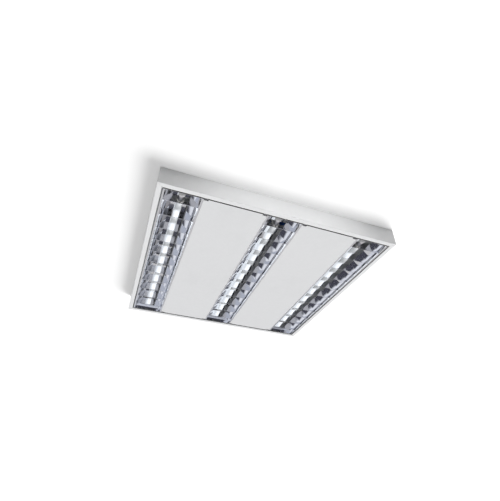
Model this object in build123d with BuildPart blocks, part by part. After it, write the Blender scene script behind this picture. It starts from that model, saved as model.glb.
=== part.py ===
from build123d import *
import os
from math import radians, sqrt, tan

# Surface mounted ceiling light for three slim fluorescent tubes. The origin is the centre of the
# ceiling face, Z is up into the ceiling, X runs across the mirror strips and Y along the lamps.

# Lamps, as bought
lamp_d = 16.0
lamp_length = 549.0
lamp_wall = 0.8
cap_length = 12.0
cap_wall = 0.25
cap_end_t = 1.0
lamp_pin_d = 2.35
lamp_pin_length = 7.1
lamp_pin_spacing = 4.75

# Layout across and along the fixture
strip_count = 3
strip_w = 89.0
panel_w = 151.5
lip_w = 12.0
louvre_gap = 3.0
end_room = 25.5

# Casing sheet
sheet = 0.8
hem_h = 4.0
fold_r = 1.2
corner_over_fold = 0.5
hem_edge_r = 0.35
seam_w = 0.4
recess = 1.0

# Stack of depths below the back plate
carrier_h = 2.7
lamp_to_carrier = 2.0
optic_to_lamp = 0.5
optic_h = 25.0

# Ceiling screws and cable entry
screw_hole_r = 3.0
screw_from_bay = 59.75
screw_spacing_y = 400.0
dish_r = 17.0
dish_depth = 2.4
entry_from_bay = 45.0
entry_from_front = 48.0
grommet_neck_r = 7.0
grommet_bore_r = 5.0
grommet_flange_w = 2.6
grommet_flange_t = 1.2
fit_gap = 0.1

# Lamp carriers
carrier_w = 40.0
carrier_t = 0.8
carrier_past_holder = 2.7
carrier_screw_from_end = 46.5
carrier_screw_count = 4

# Lampholders and their rotors
cap_to_holder = 0.3
holder_t = 9.0
holder_below_axis = 9.5
holder_back_t = 1.6
rotor_r = 6.5
rotor_gap = 0.25
rotor_set_back = 0.2
rotor_t = 6.0
pin_slot_gap = 0.13
pin_entry_w = 3.0
foot_w = 10.0
foot_l = 5.0
foot_past_sheet = 1.2
contact_t = 0.5
contact_w = 1.1
contact_to_pin = 0.2
contact_reach = 3.5

# Louvre unit
rail_t = 1.0
rail_drop = 3.0
rail_notch_h = 7.0
panel_sheet = 0.8
panel_flange_h = 12.0
panel_fold_r = 0.8
reflector_t = 0.5
optic_margin = 4.0
optic_top_half_w = 20.5
optic_bend_z = 14.0

# Cross blades
blade_pitch = 50.0
blade_t = 0.4
blade_edge_half_w = 0.5
blade_top_half_w = 2.0
blade_bend_half_w = 0.8
blade_bend_from_top = 8.5
blade_lift = 0.5
blade_drop = 2.5
blade_end_room = 26.0

# End reflectors
end_reflector_lean = 6.5
end_reflector_flat_h = 4.0

# Hinge and catch pins with their clips
louvre_pin_r = 1.25
louvre_pin_lift = 2.5
louvre_pin_inset = 0.5
ear_t = 0.8
ear_reach = 3.0
ear_above_pin = 3.0
clip_w = 7.0
clip_t = 0.8
clip_gap = 0.7
notch_gap = 0.3
seat_gap = 0.06
clip_over_hem = 1.1
clip_wall_leg_h = 18.0

# Ballasts
ballast_l = 359.0
ballast_w = 30.0
ballast_h = 22.0
ballast_ear_l = 8.0
ballast_from_block = 17.5
ballast_wall = 0.7
board_t = 1.6
board_below_back = 2.0
ballast_terminal_l = 16.0
ballast_terminal_w = 23.6
ballast_terminal_set_in = 0.8
terminal_edge_gap = 0.2
release_slot_l = 4.0
component_gap = 1.5
choke_side = 20.0
choke_places = (-0.5, 0.25)
capacitor_r = 6.0
capacitor_count = 3
capacitor_pitch = 14.5
capacitor_start = -0.17
transistor_w = 4.0
transistor_l = 10.0
transistor_start = 0.5
transistor_shorter = 3.0

# Terminal block and earth stud
block_l = 36.0
block_w = 16.0
block_h = 14.0
block_from_entry = 47.0
pole_count = 3
pole_pitch = 11.0
block_screw_r = 2.0
block_screw_depth = 4.0
block_screw_sunk = 1.0
stud_r = 2.0
stud_l = 12.0
stud_from_block = 26.0
nut_flats = 7.0
nut_t = 3.2
washer_r = 4.5
washer_t = 0.8

# Screws and rivets
screw_r = 1.35
screw_head_r = 2.8
screw_head_t = 1.2
drive_w = 0.8
drive_depth = 0.5
rivet_r = 1.55
rivet_head_r = 2.4
rivet_head_t = 0.8
rivet_above_sheet = 6.0
rivet_pitch = 200.0
end_rivet_pitch = 90.0

# Wiring
mains_wire_r = 1.1
lamp_wire_r = 1.5
wire_below_back = 1.2
wire_entry_in = 8.0
mains_entry_in = 2.6
mains_run_spacing = 4.0
near_row_first = 11.0
near_row_spacing = 6.5
far_past_dish = 14.0
far_side_spacing = 6.0
far_leave = 7.0
far_corner = 20.0
earth_run = 10.0
mains_run_from_holder = 4.5
harness_in_holder_z = 5.5
harness_turn = 17.0
harness_drop = (0.155, 0.375)
holder_rise_start = 16.0
holder_rise_end = 2.0
bend_share = 0.42
most_bend = 16.0
clip_block_w = 7.0
clip_block_l = 6.0
clip_block_below_wire = 1.2

# Levels and reaches that follow from the sizes above
lamp_r = lamp_d / 2
cap_r = lamp_r + cap_wall
lamp_end = lamp_length / 2
lamp_pin_r = lamp_pin_d / 2
bay_count = strip_count - 1
louvre_x = strip_count * strip_w + bay_count * panel_w
casing_x = louvre_x + 2 * (louvre_gap + lip_w)
casing_y = lamp_length + 2 * end_room
louvre_y = casing_y - 2 * (louvre_gap + lip_w)
mouth_x = casing_x - 2 * lip_w
mouth_y = casing_y - 2 * lip_w

back_z = -sheet
carrier_z = back_z - carrier_h
lamp_z = carrier_z - lamp_to_carrier - lamp_r
optic_top_z = lamp_z - lamp_r - optic_to_lamp
louvre_z = optic_top_z - optic_h
casing_h = -louvre_z + recess
lip_z = -casing_h
hem_top_z = lip_z + hem_h
wall_x = casing_x / 2 - sheet
wall_y = casing_y / 2 - sheet

strip_pitch = strip_w + panel_w
strip_xs = [strip_pitch * (i - bay_count / 2) for i in range(strip_count)]
bay_xs = [strip_pitch * (i - (bay_count - 1) / 2) for i in range(bay_count)]
strip_names = [str(i + 1) for i in range(strip_count)]
bay_names = [str(i + 1) for i in range(bay_count)]

entry_x = bay_xs[-1] - entry_from_bay
entry_y = -casing_y / 2 + entry_from_front
dish_z = -dish_depth
dish_under_z = dish_z - sheet

holder_face = lamp_end + cap_to_holder
holder_back = holder_face + holder_t
rotor_face = holder_face + rotor_set_back
cavity_r = rotor_r + rotor_gap
cavity_back = holder_back - holder_back_t
foot_y = (holder_face + holder_back) / 2
foot_top_z = carrier_z + carrier_t + foot_past_sheet
carrier_half_l = holder_back + carrier_past_holder

rail_face = louvre_y / 2 - rail_t
optic_edge = strip_w / 2 - optic_margin
pin_y = rail_face - louvre_pin_inset
pin_z = louvre_z + louvre_pin_lift
ear_face = clip_w / 2 + clip_gap
ear_back = ear_face + ear_t
notch_half = ear_back + notch_gap
pin_xs = []
for bay_x in bay_xs:
    pin_reach = panel_w / 2 - panel_sheet - notch_half
    pin_xs = pin_xs + [bay_x - pin_reach, bay_x + pin_reach]

block_x = entry_x
block_y = entry_y + block_from_entry
block_face = block_w / 2
ballast_case_half_l = ballast_l / 2 - ballast_ear_l
ballast_y = block_y + block_face + ballast_from_block + ballast_l / 2
ballast_z = back_z - ballast_h
board_z = back_z - board_below_back - board_t
terminal_face = ballast_case_half_l
stud_x = block_x + stud_from_block
stud_y = block_y
wire_z = back_z - wire_below_back - lamp_wire_r

parts = {}
os.makedirs("parts", exist_ok=True)


def finish(name, shape):
    """Label a finished piece and write it out."""
    shape.label = name
    parts[name] = shape
    export_step(shape, "parts/" + name + ".step")


def block(x_low, x_high, y_low, y_high, z_low, z_high, mode=Mode.ADD):
    """A straight block between two corners, in the part being built."""
    with Locations(((x_low + x_high) / 2, (y_low + y_high) / 2, (z_low + z_high) / 2)):
        Box(abs(x_high - x_low), abs(y_high - y_low), abs(z_high - z_low), mode=mode)


def rod_x(y, z, radius, x_low, x_high, mode=Mode.ADD):
    """A round rod along X between two places, in the part being built."""
    with Locations(((x_low + x_high) / 2, y, z)):
        Cylinder(radius, abs(x_high - x_low), rotation=(0, 90, 0), mode=mode)


def rod_y(x, z, radius, y_low, y_high, mode=Mode.ADD):
    """A round rod along Y between two places, in the part being built."""
    with Locations((x, (y_low + y_high) / 2, z)):
        Cylinder(radius, abs(y_high - y_low), rotation=(90, 0, 0), mode=mode)


def rod_z(x, y, radius, z_low, z_high, mode=Mode.ADD):
    """A round rod along Z between two heights, in the part being built."""
    with Locations((x, y, (z_low + z_high) / 2)):
        Cylinder(radius, abs(z_high - z_low), mode=mode)


def pan_screw(x, y, seat_z, tip_z):
    """A slotted pan head screw driven up from below, its head under seat_z."""
    rod_z(x, y, screw_head_r, seat_z - screw_head_t, seat_z)
    rod_z(x, y, screw_r, seat_z, tip_z)
    drive_z = seat_z - screw_head_t
    block(x - screw_head_r, x + screw_head_r, y - drive_w / 2, y + drive_w / 2,
          drive_z, drive_z + drive_depth, mode=Mode.SUBTRACT)


# Places of the screws that are driven up into the back plate
carrier_screw_reach = carrier_half_l - carrier_screw_from_end
carrier_screw_pitch = 2 * carrier_screw_reach / (carrier_screw_count - 1)
carrier_screw_ys = [carrier_screw_pitch * i - carrier_screw_reach for i in range(carrier_screw_count)]
carrier_screw_places = [(x, y) for x in strip_xs for y in carrier_screw_ys]
ballast_screw_reach = ballast_l / 2 - ballast_ear_l / 2
ballast_screw_ys = (ballast_y - ballast_screw_reach, ballast_y + ballast_screw_reach)
ballast_screw_places = [(x, y) for x in bay_xs for y in ballast_screw_ys]
ceiling_screw_x = bay_xs[-1] + screw_from_bay
ceiling_screw_y = screw_spacing_y / 2

# Casing: one pressed tray with its lip turned in and a small hem turned back up
with BuildPart() as housing_shell:
    with BuildSketch(Plane.XY):
        Rectangle(casing_x, casing_y)
    extrude(amount=-casing_h)
    fillet(housing_shell.edges().filter_by(Axis.Z), radius=fold_r + corner_over_fold)
    fillet(housing_shell.faces().sort_by(Axis.Z)[0].edges(), radius=fold_r)
    fillet(housing_shell.faces().sort_by(Axis.Z)[-1].edges(), radius=fold_r)
    with BuildSketch(Plane.XY.offset(back_z)):
        Rectangle(casing_x - 2 * sheet, casing_y - 2 * sheet)
    extrude(amount=-(casing_h - 2 * sheet), mode=Mode.SUBTRACT)
    with BuildSketch(Plane.XY.offset(lip_z)):
        Rectangle(mouth_x, mouth_y)
    extrude(amount=sheet, mode=Mode.SUBTRACT)
    with BuildSketch(Plane.XY.offset(lip_z)):
        Rectangle(mouth_x + 2 * sheet, mouth_y + 2 * sheet)
        Rectangle(mouth_x, mouth_y, mode=Mode.SUBTRACT)
    extrude(amount=hem_h)
    hem_edges = housing_shell.faces().sort_by(Axis.Z)[0].inner_wires().edges()
    fillet(hem_edges, radius=hem_edge_r)
    # Pressed dish for the cable entry, so that nothing stands above the ceiling face
    rod_z(entry_x, entry_y, dish_r + sheet, dish_under_z, -sheet / 2)
    rod_z(entry_x, entry_y, dish_r, dish_z, 0, mode=Mode.SUBTRACT)
    rod_z(entry_x, entry_y, grommet_neck_r + fit_gap, dish_under_z, 0, mode=Mode.SUBTRACT)
    # Ceiling screw holes, and the tapped holes for the carriers and ballasts
    with BuildSketch(Plane.XY.offset(back_z)):
        with GridLocations(2 * ceiling_screw_x, screw_spacing_y, 2, 2):
            Circle(screw_hole_r)
        with Locations(*carrier_screw_places, *ballast_screw_places):
            Circle(screw_r + fit_gap / 2)
    extrude(amount=sheet, mode=Mode.SUBTRACT)
    # Mitred seams where the lips meet at the corners
    seam_run = wall_x - mouth_x / 2
    seam_mid_x = (mouth_x + seam_run) / 2 - seam_w
    seam_mid_y = (mouth_y + seam_run) / 2 - seam_w
    with BuildSketch(Plane.XY.offset(lip_z)):
        for side_x in (-1, 1):
            for side_y in (-1, 1):
                with Locations(Location((side_x * seam_mid_x, side_y * seam_mid_y), 45 * side_x * side_y)):
                    Rectangle(sqrt(2) * seam_run, seam_w)
    extrude(amount=hem_h, mode=Mode.SUBTRACT)
finish("housing_shell", housing_shell.part)

# Rubber grommet gripping the dish's floor
with BuildPart() as cable_grommet:
    flange_r = grommet_neck_r + grommet_flange_w
    rod_z(entry_x, entry_y, flange_r, dish_z, dish_z + grommet_flange_t)
    rod_z(entry_x, entry_y, grommet_neck_r, dish_under_z, dish_z)
    rod_z(entry_x, entry_y, flange_r, dish_under_z - grommet_flange_t, dish_under_z)
    rod_z(entry_x, entry_y, grommet_bore_r, dish_under_z - grommet_flange_t, 0, mode=Mode.SUBTRACT)
finish("cable_grommet", cable_grommet.part)

# Lamp carriers: shallow channels on the back plate, slotted for the lampholders' feet
for strip_name, strip_x in zip(strip_names, strip_xs):
    with BuildPart() as lamp_carrier:
        half_w = carrier_w / 2
        block(strip_x - half_w, strip_x + half_w, -carrier_half_l, carrier_half_l, carrier_z, back_z)
        block(strip_x - half_w + carrier_t, strip_x + half_w - carrier_t,
              -carrier_half_l, carrier_half_l, carrier_z + carrier_t, back_z, mode=Mode.SUBTRACT)
        with BuildSketch(Plane.XY.offset(carrier_z)):
            with Locations((strip_x, -foot_y), (strip_x, foot_y)):
                Rectangle(foot_w + 2 * fit_gap, foot_l + 2 * fit_gap)
            with Locations(*[(strip_x, y) for y in carrier_screw_ys]):
                Circle(screw_r + fit_gap)
        extrude(amount=carrier_t, mode=Mode.SUBTRACT)
    finish("lamp_carrier_" + strip_name, lamp_carrier.part)

with BuildPart() as carrier_screws:
    for place in carrier_screw_places:
        pan_screw(place[0], place[1], carrier_z, 0)
finish("carrier_screws", carrier_screws.part)

# Contact leaves beside the lamp pins, behind each rotor
contact_in = lamp_pin_spacing / 2 + lamp_pin_r + contact_to_pin


def contact_leaves(strip_x, end):
    """Two contact leaves of one lampholder, in the part being built."""
    for side in (-1, 1):
        x_in = strip_x + side * contact_in
        x_out = x_in + side * contact_t
        block(min(x_in, x_out), max(x_in, x_out),
              min(end * (cavity_back - contact_w), end * cavity_back),
              max(end * (cavity_back - contact_w), end * cavity_back),
              lamp_z - contact_reach, lamp_z + cavity_r)


for strip_name, strip_x in zip(strip_names, strip_xs):
    # Lampholders: one at each end, snapped into the carrier by a foot
    with BuildPart() as lampholders:
        for end in (-1, 1):
            y_low = min(end * holder_face, end * holder_back)
            y_high = max(end * holder_face, end * holder_back)
            block(strip_x - holder_below_axis, strip_x + holder_below_axis, y_low, y_high, lamp_z, carrier_z)
            rod_y(strip_x, lamp_z, holder_below_axis, y_low, y_high)
            foot_low = end * foot_y - foot_l / 2
            block(strip_x - foot_w / 2, strip_x + foot_w / 2, foot_low, foot_low + foot_l,
                  carrier_z, foot_top_z)
            cavity_low = min(end * holder_face, end * cavity_back)
            cavity_high = max(end * holder_face, end * cavity_back)
            rod_y(strip_x, lamp_z, cavity_r, cavity_low, cavity_high, mode=Mode.SUBTRACT)
            block(strip_x - pin_entry_w / 2, strip_x + pin_entry_w / 2, cavity_low, cavity_high,
                  lamp_z - holder_below_axis, lamp_z, mode=Mode.SUBTRACT)
            for side in (-1, 1):
                slot_x = strip_x + side * (contact_in + contact_t / 2)
                slot_low = min(end * (cavity_back - contact_w), end * cavity_back)
                block(slot_x - contact_t / 2, slot_x + contact_t / 2, slot_low, slot_low + contact_w,
                      lamp_z, lamp_z + cavity_r, mode=Mode.SUBTRACT)
    finish("lampholders_" + strip_name, lampholders.part)

    # Rotors: slotted discs that turn with the lamp and lock it
    with BuildPart() as rotors:
        for end in (-1, 1):
            rotor_low = min(end * rotor_face, end * (rotor_face + rotor_t))
            rod_y(strip_x, lamp_z, rotor_r, rotor_low, rotor_low + rotor_t)
            slot_half = lamp_pin_r + pin_slot_gap
            slot_start = strip_x - lamp_pin_spacing / 2 - slot_half
            block(slot_start, strip_x + rotor_r, rotor_low, rotor_low + rotor_t,
                  lamp_z - slot_half, lamp_z + slot_half, mode=Mode.SUBTRACT)
    finish("rotors_" + strip_name, rotors.part)

    # Glass tube, closed by an aluminium cap at each end, with two pins a cap
    with BuildPart() as lamp_tube:
        glass_end = lamp_end - cap_end_t
        rod_y(strip_x, lamp_z, lamp_r, -glass_end, glass_end)
        rod_y(strip_x, lamp_z, lamp_r - lamp_wall, -glass_end, glass_end, mode=Mode.SUBTRACT)
    finish("lamp_tube_" + strip_name, lamp_tube.part)

    with BuildPart() as lamp_caps:
        for end in (-1, 1):
            cap_low = min(end * lamp_end, end * (lamp_end - cap_length))
            rod_y(strip_x, lamp_z, cap_r, cap_low, cap_low + cap_length)
            sleeve_low = min(end * (lamp_end - cap_end_t), end * (lamp_end - cap_length))
            rod_y(strip_x, lamp_z, lamp_r, sleeve_low, sleeve_low + cap_length - cap_end_t,
                  mode=Mode.SUBTRACT)
        for side in (-1, 1):
            rod_y(strip_x + side * lamp_pin_spacing / 2, lamp_z, lamp_pin_r, -lamp_end, lamp_end,
                  mode=Mode.SUBTRACT)
    finish("lamp_caps_" + strip_name, lamp_caps.part)

    with BuildPart() as lamp_pins:
        for end in (-1, 1):
            for side in (-1, 1):
                pin_root = lamp_end - cap_end_t
                pin_low = min(end * pin_root, end * (lamp_end + lamp_pin_length))
                rod_y(strip_x + side * lamp_pin_spacing / 2, lamp_z, lamp_pin_r,
                      pin_low, pin_low + lamp_pin_length + cap_end_t)
    finish("lamp_pins_" + strip_name, lamp_pins.part)

with BuildPart() as lampholder_contacts:
    for strip_x in strip_xs:
        contact_leaves(strip_x, -1)
        contact_leaves(strip_x, 1)
finish("lampholder_contacts", lampholder_contacts.part)

# Ballasts: a folded case open to the back plate, a board with its components, and terminals
terminal_half_w = ballast_terminal_w / 2 + terminal_edge_gap
terminal_top_z = board_z
terminal_low_z = ballast_z + ballast_terminal_set_in
for bay_name, bay_x in zip(bay_names, bay_xs):
    with BuildPart() as ballast_case:
        half_w = ballast_w / 2
        block(bay_x - half_w, bay_x + half_w, ballast_y - ballast_case_half_l,
              ballast_y + ballast_case_half_l, ballast_z, back_z)
        fillet(ballast_case.edges().filter_by(Axis.Y).group_by(Axis.Z)[0], radius=ballast_wall)
        inner_l = ballast_case_half_l - ballast_wall
        block(bay_x - half_w + ballast_wall, bay_x + half_w - ballast_wall, ballast_y - inner_l,
              ballast_y + inner_l, ballast_z + ballast_wall, back_z, mode=Mode.SUBTRACT)
        for end, screw_y in zip((-1, 1), ballast_screw_ys):
            ear_low = ballast_y + min(end * ballast_case_half_l, end * ballast_l / 2)
            block(bay_x - half_w, bay_x + half_w, ear_low, ear_low + ballast_ear_l,
                  back_z - ballast_wall, back_z)
            rod_z(bay_x, screw_y, screw_r + fit_gap, back_z - ballast_wall, back_z, mode=Mode.SUBTRACT)
            window_low = ballast_y + min(end * (terminal_face - ballast_terminal_l - terminal_edge_gap),
                                         end * terminal_face)
            block(bay_x - terminal_half_w, bay_x + terminal_half_w, window_low,
                  window_low + ballast_terminal_l + terminal_edge_gap, ballast_z, terminal_top_z,
                  mode=Mode.SUBTRACT)
    finish("ballast_case_" + bay_name, ballast_case.part)

with BuildPart() as ballast_boards:
    board_half_w = ballast_w / 2 - ballast_wall
    board_half_l = ballast_case_half_l - ballast_wall
    deepest = ballast_z + ballast_wall + component_gap
    for bay_x in bay_xs:
        block(bay_x - board_half_w, bay_x + board_half_w, ballast_y - board_half_l,
              ballast_y + board_half_l, board_z, board_z + board_t)
        # Two chokes, a row of upright capacitors and two switching transistors
        for choke_place in choke_places:
            choke_y = ballast_y + choke_place * board_half_l
            block(bay_x - choke_side / 2, bay_x + choke_side / 2, choke_y - choke_side / 2,
                  choke_y + choke_side / 2, deepest, board_z)
        for capacitor in range(capacitor_count):
            capacitor_y = ballast_y + capacitor_start * board_half_l + capacitor * capacitor_pitch
            rod_z(bay_x, capacitor_y, capacitor_r, deepest, board_z)
        for side in (-1, 1):
            transistor_x = bay_x + side * board_half_w / 2
            transistor_y = ballast_y + transistor_start * board_half_l
            block(transistor_x - transistor_w / 2, transistor_x + transistor_w / 2, transistor_y,
                  transistor_y + transistor_l, deepest + transistor_shorter, board_z)
finish("ballast_boards", ballast_boards.part)

with BuildPart() as ballast_terminals:
    for bay_x in bay_xs:
        for end in (-1, 1):
            terminal_y = ballast_y + min(end * (terminal_face - ballast_terminal_l), end * terminal_face)
            block(bay_x - ballast_terminal_w / 2, bay_x + ballast_terminal_w / 2, terminal_y,
                  terminal_y + ballast_terminal_l, terminal_low_z, terminal_top_z)
            # Release slots, one over each wire entry
            for entry in (-wire_entry_in, -mains_entry_in, mains_entry_in, wire_entry_in):
                slot_y = ballast_y + end * (terminal_face - ballast_terminal_l / 2)
                block(bay_x + entry - drive_w, bay_x + entry + drive_w, slot_y - release_slot_l / 2,
                      slot_y + release_slot_l / 2, terminal_low_z, terminal_low_z + drive_depth,
                      mode=Mode.SUBTRACT)
finish("ballast_terminals", ballast_terminals.part)

with BuildPart() as ballast_screws:
    for place in ballast_screw_places:
        pan_screw(place[0], place[1], back_z - ballast_wall, 0)
finish("ballast_screws", ballast_screws.part)

# Mains terminal block with a pair of clamping screws for each pole
pole_xs = [block_x + pole_pitch * (i - (pole_count - 1) / 2) for i in range(pole_count)]
clamp_y = block_w / 4
block_low_z = back_z - block_h
clamp_places = [(x, block_y + side * clamp_y) for x in pole_xs for side in (-1, 1)]
clamp_low_z = block_low_z + block_screw_sunk
clamp_top_z = clamp_low_z + block_screw_depth
with BuildPart() as terminal_block:
    block(block_x - block_l / 2, block_x + block_l / 2, block_y - block_w / 2, block_y + block_w / 2,
          block_low_z, back_z)
    chamfer(terminal_block.faces().sort_by(Axis.Z)[0].edges(), length=drive_depth)
    for clamp in clamp_places:
        rod_z(clamp[0], clamp[1], block_screw_r + fit_gap, block_low_z, clamp_top_z, mode=Mode.SUBTRACT)
finish("terminal_block", terminal_block.part)

with BuildPart() as terminal_screws:
    for clamp in clamp_places:
        rod_z(clamp[0], clamp[1], block_screw_r, clamp_low_z, clamp_top_z)
        block(clamp[0] - block_screw_r, clamp[0] + block_screw_r, clamp[1] - drive_w / 2,
              clamp[1] + drive_w / 2, clamp_low_z, clamp_low_z + drive_depth, mode=Mode.SUBTRACT)
finish("terminal_screws", terminal_screws.part)

# Earth stud welded to the back plate, with the wire's ring tag clamped by a washer and a nut
tag_t = washer_t
washer_z = back_z - tag_t - washer_t
with BuildPart() as earth_stud:
    rod_z(stud_x, stud_y, stud_r, back_z - stud_l, back_z)
    chamfer(earth_stud.faces().sort_by(Axis.Z)[0].edges(), length=stud_r / 5)
finish("earth_stud", earth_stud.part)

with BuildPart() as earth_nut:
    rod_z(stud_x, stud_y, washer_r, washer_z, washer_z + washer_t)
    with BuildSketch(Plane.XY.offset(washer_z - nut_t)):
        with Locations((stud_x, stud_y)):
            RegularPolygon(nut_flats / 2, 6, major_radius=False)
    extrude(amount=nut_t)
    rod_z(stud_x, stud_y, stud_r, washer_z - nut_t, washer_z + washer_t, mode=Mode.SUBTRACT)
finish("earth_nut", earth_nut.part)


def bend_radii(points):
    """The largest bend that the runs on both sides of each point leave room for."""
    radii = []
    for before, here, after in zip(points, points[1:], points[2:]):
        run_in = Vector(*here) - Vector(*before)
        run_out = Vector(*after) - Vector(*here)
        half_turn = radians(run_in.get_angle(run_out)) / 2
        room = bend_share * min(run_in.length, run_out.length) / tan(half_turn)
        radii.append(min(most_bend, room))
    return radii


def wire(points, radius):
    """A wire of one radius along straight runs and tangent bends, in the part being built."""
    with BuildLine() as route:
        FilletPolyline(*points, radius=bend_radii(points))
    path = route.wire()
    with BuildSketch(Plane(origin=path @ 0, z_dir=path % 0)) as section:
        Circle(radius)
    sweep(section.sketch, path=path)


entry_z = (terminal_low_z + terminal_top_z) / 2
turn_y = foot_y - harness_turn
holder_entry_z = carrier_z - harness_in_holder_z


def drop_place(end, share):
    """A place on the run from a ballast's terminals at one end to where its lamp wires turn off."""
    terminal_at = ballast_y + end * terminal_face
    return terminal_at + share * (end * turn_y - terminal_at)


drop_start, drop_end = harness_drop


def harness_route(bay_x, side, end, strip_x):
    """From a ballast's terminal along the back plate into the side of a lampholder."""
    start_x = bay_x + side * wire_entry_in
    holder_x = strip_x - side * holder_below_axis
    return [
        (start_x, drop_place(end, 0), entry_z),
        (start_x, drop_place(end, drop_start), entry_z),
        (start_x, drop_place(end, drop_end), wire_z),
        (start_x, end * turn_y, wire_z),
        (start_x + side * harness_turn, end * foot_y, wire_z),
        (strip_x - side * (carrier_w / 2 + holder_rise_start), end * foot_y, wire_z),
        (strip_x - side * (carrier_w / 2 + holder_rise_end), end * foot_y, holder_entry_z),
        (holder_x, end * foot_y, holder_entry_z),
    ]


# Lamp wiring: the first ballast feeds two lamps, the other one feeds the last lamp
harness_ends = {
    bay_names[0]: [(bay_xs[0], -1, strip_xs[0]), (bay_xs[0], 1, strip_xs[1])],
    bay_names[1]: [(bay_xs[1], 1, strip_xs[2])],
}
for bay_name, feeds in harness_ends.items():
    with BuildPart() as lamp_wiring:
        for end in (-1, 1):
            for bay_x, side, strip_x in feeds:
                wire(harness_route(bay_x, side, end, strip_x), lamp_wire_r)
    finish("lamp_wiring_" + bay_name, lamp_wiring.part)

# Mains wiring: short links to the near ballast, long ones round the lampholders to the far one
mains_z = (block_low_z + back_z) / 2
mains_low_z = back_z - wire_below_back - mains_wire_r
run_y = -(holder_back + mains_run_from_holder)


def near_link(pole_x, entry, row):
    """From a pole of the terminal block to the ballast beside it."""
    entry_at = bay_xs[-1] + entry
    terminal_at = drop_place(-1, 0)
    row_y = terminal_at - near_row_first - row * near_row_spacing
    return [
        (pole_x, block_y + block_face, mains_z),
        (pole_x, row_y, mains_z),
        (entry_at, row_y, entry_z),
        (entry_at, terminal_at, entry_z),
    ]


def far_link(pole_x, entry, row):
    """From a pole of the terminal block round the middle lampholder to the far ballast."""
    row_y = run_y - row * mains_run_spacing
    side_x = entry_x - dish_r - far_past_dish + row * far_side_spacing
    leave_y = block_y - block_face - far_leave - row * far_side_spacing
    entry_at = bay_xs[0] + entry
    return [
        (pole_x, block_y - block_face, mains_z),
        (pole_x, leave_y, mains_z),
        (side_x, leave_y - far_corner / 3, mains_low_z),
        (side_x, row_y + far_corner, mains_low_z),
        (side_x - far_corner, row_y, mains_low_z),
        (entry_at + far_corner, row_y, mains_low_z),
        (entry_at, row_y + far_corner, mains_low_z),
        (entry_at, drop_place(-1, drop_end), mains_low_z),
        (entry_at, drop_place(-1, drop_start), entry_z),
        (entry_at, drop_place(-1, 0), entry_z),
    ]


mains_wires = (("wire_live", 0, 1, 0), ("wire_neutral", 1, -1, 1))
for wire_name, pole, far_side, row in mains_wires:
    with BuildPart() as mains_wire:
        wire(near_link(pole_xs[pole], -far_side * mains_entry_in, row), mains_wire_r)
        wire(far_link(pole_xs[pole], far_side * mains_entry_in, row), mains_wire_r)
    finish(wire_name, mains_wire.part)

# Earth wire, crimped to the ring tag on the stud
tag_z = back_z - tag_t
tag_neck_y = stud_y - washer_r
with BuildPart() as wire_earth:
    crimp_z = back_z - mains_wire_r
    crimp_y = tag_neck_y - tag_t / 4
    wire([
        (pole_xs[-1], block_y - block_face, mains_z),
        (pole_xs[-1], block_y - block_face - far_leave, mains_z),
        (stud_x, crimp_y - earth_run, crimp_z),
        (stud_x, crimp_y, crimp_z),
    ], mains_wire_r)
    rod_z(stud_x, stud_y, washer_r, tag_z, back_z)
    block(stud_x - mains_wire_r, stud_x + mains_wire_r, crimp_y - washer_r, stud_y, tag_z, back_z)
    rod_z(stud_x, stud_y, stud_r, tag_z, back_z, mode=Mode.SUBTRACT)
finish("wire_earth", wire_earth.part)

# Adhesive clips that hold the wiring against the back plate
with BuildPart() as wire_clips:
    clip_low_z = wire_z - lamp_wire_r - clip_block_below_wire
    for feeds in harness_ends.values():
        for bay_x, side, strip_x in feeds:
            for end in (-1, 1):
                hold_x = bay_x + side * wire_entry_in
                hold_at = (drop_place(end, drop_end) + end * turn_y) / 2
                block(hold_x - clip_block_w / 2, hold_x + clip_block_w / 2, hold_at - clip_block_l / 2,
                      hold_at + clip_block_l / 2, clip_low_z, back_z)
                rod_y(hold_x, wire_z, lamp_wire_r, hold_at - clip_block_l / 2, hold_at + clip_block_l / 2,
                      mode=Mode.SUBTRACT)
finish("wire_clips", wire_clips.part)

# Spring clips on the walls: an arm over the hem ends in a seat open at the bottom, round the pin
seat_r = louvre_pin_r + seat_gap
seat_outer_r = seat_r + clip_t
arm_z = hem_top_z + clip_over_hem
for clip_name, end in (("catch_clips", -1), ("hinge_clips", 1)):
    with BuildPart() as spring_clips:
        for pin_x in pin_xs:
            with BuildSketch(Plane.YZ.offset(pin_x - clip_w / 2)):
                with Locations((end * pin_y, pin_z)):
                    Circle(seat_outer_r)
                with Locations((end * pin_y, pin_z - seat_outer_r / 2)):
                    Rectangle(2 * seat_outer_r, seat_outer_r)
                with Locations((end * (pin_y + wall_y) / 2, arm_z + clip_t / 2)):
                    Rectangle(wall_y - pin_y, clip_t)
                with Locations((end * (wall_y - clip_t / 2), arm_z + clip_wall_leg_h / 2)):
                    Rectangle(clip_t, clip_wall_leg_h)
                with Locations((end * pin_y, pin_z)):
                    Circle(seat_r, mode=Mode.SUBTRACT)
                with Locations((end * pin_y, pin_z - casing_h / 2)):
                    Rectangle(2 * seat_r, casing_h, mode=Mode.SUBTRACT)
            extrude(amount=clip_w)
    finish(clip_name, spring_clips.part)

# Louvre pins, each held between two ears of an end rail
for pins_name, end in (("catch_pins", -1), ("hinge_pins", 1)):
    with BuildPart() as louvre_pins:
        for pin_x in pin_xs:
            rod_x(end * pin_y, pin_z, louvre_pin_r, pin_x - ear_back, pin_x + ear_back)
    finish(pins_name, louvre_pins.part)

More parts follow.
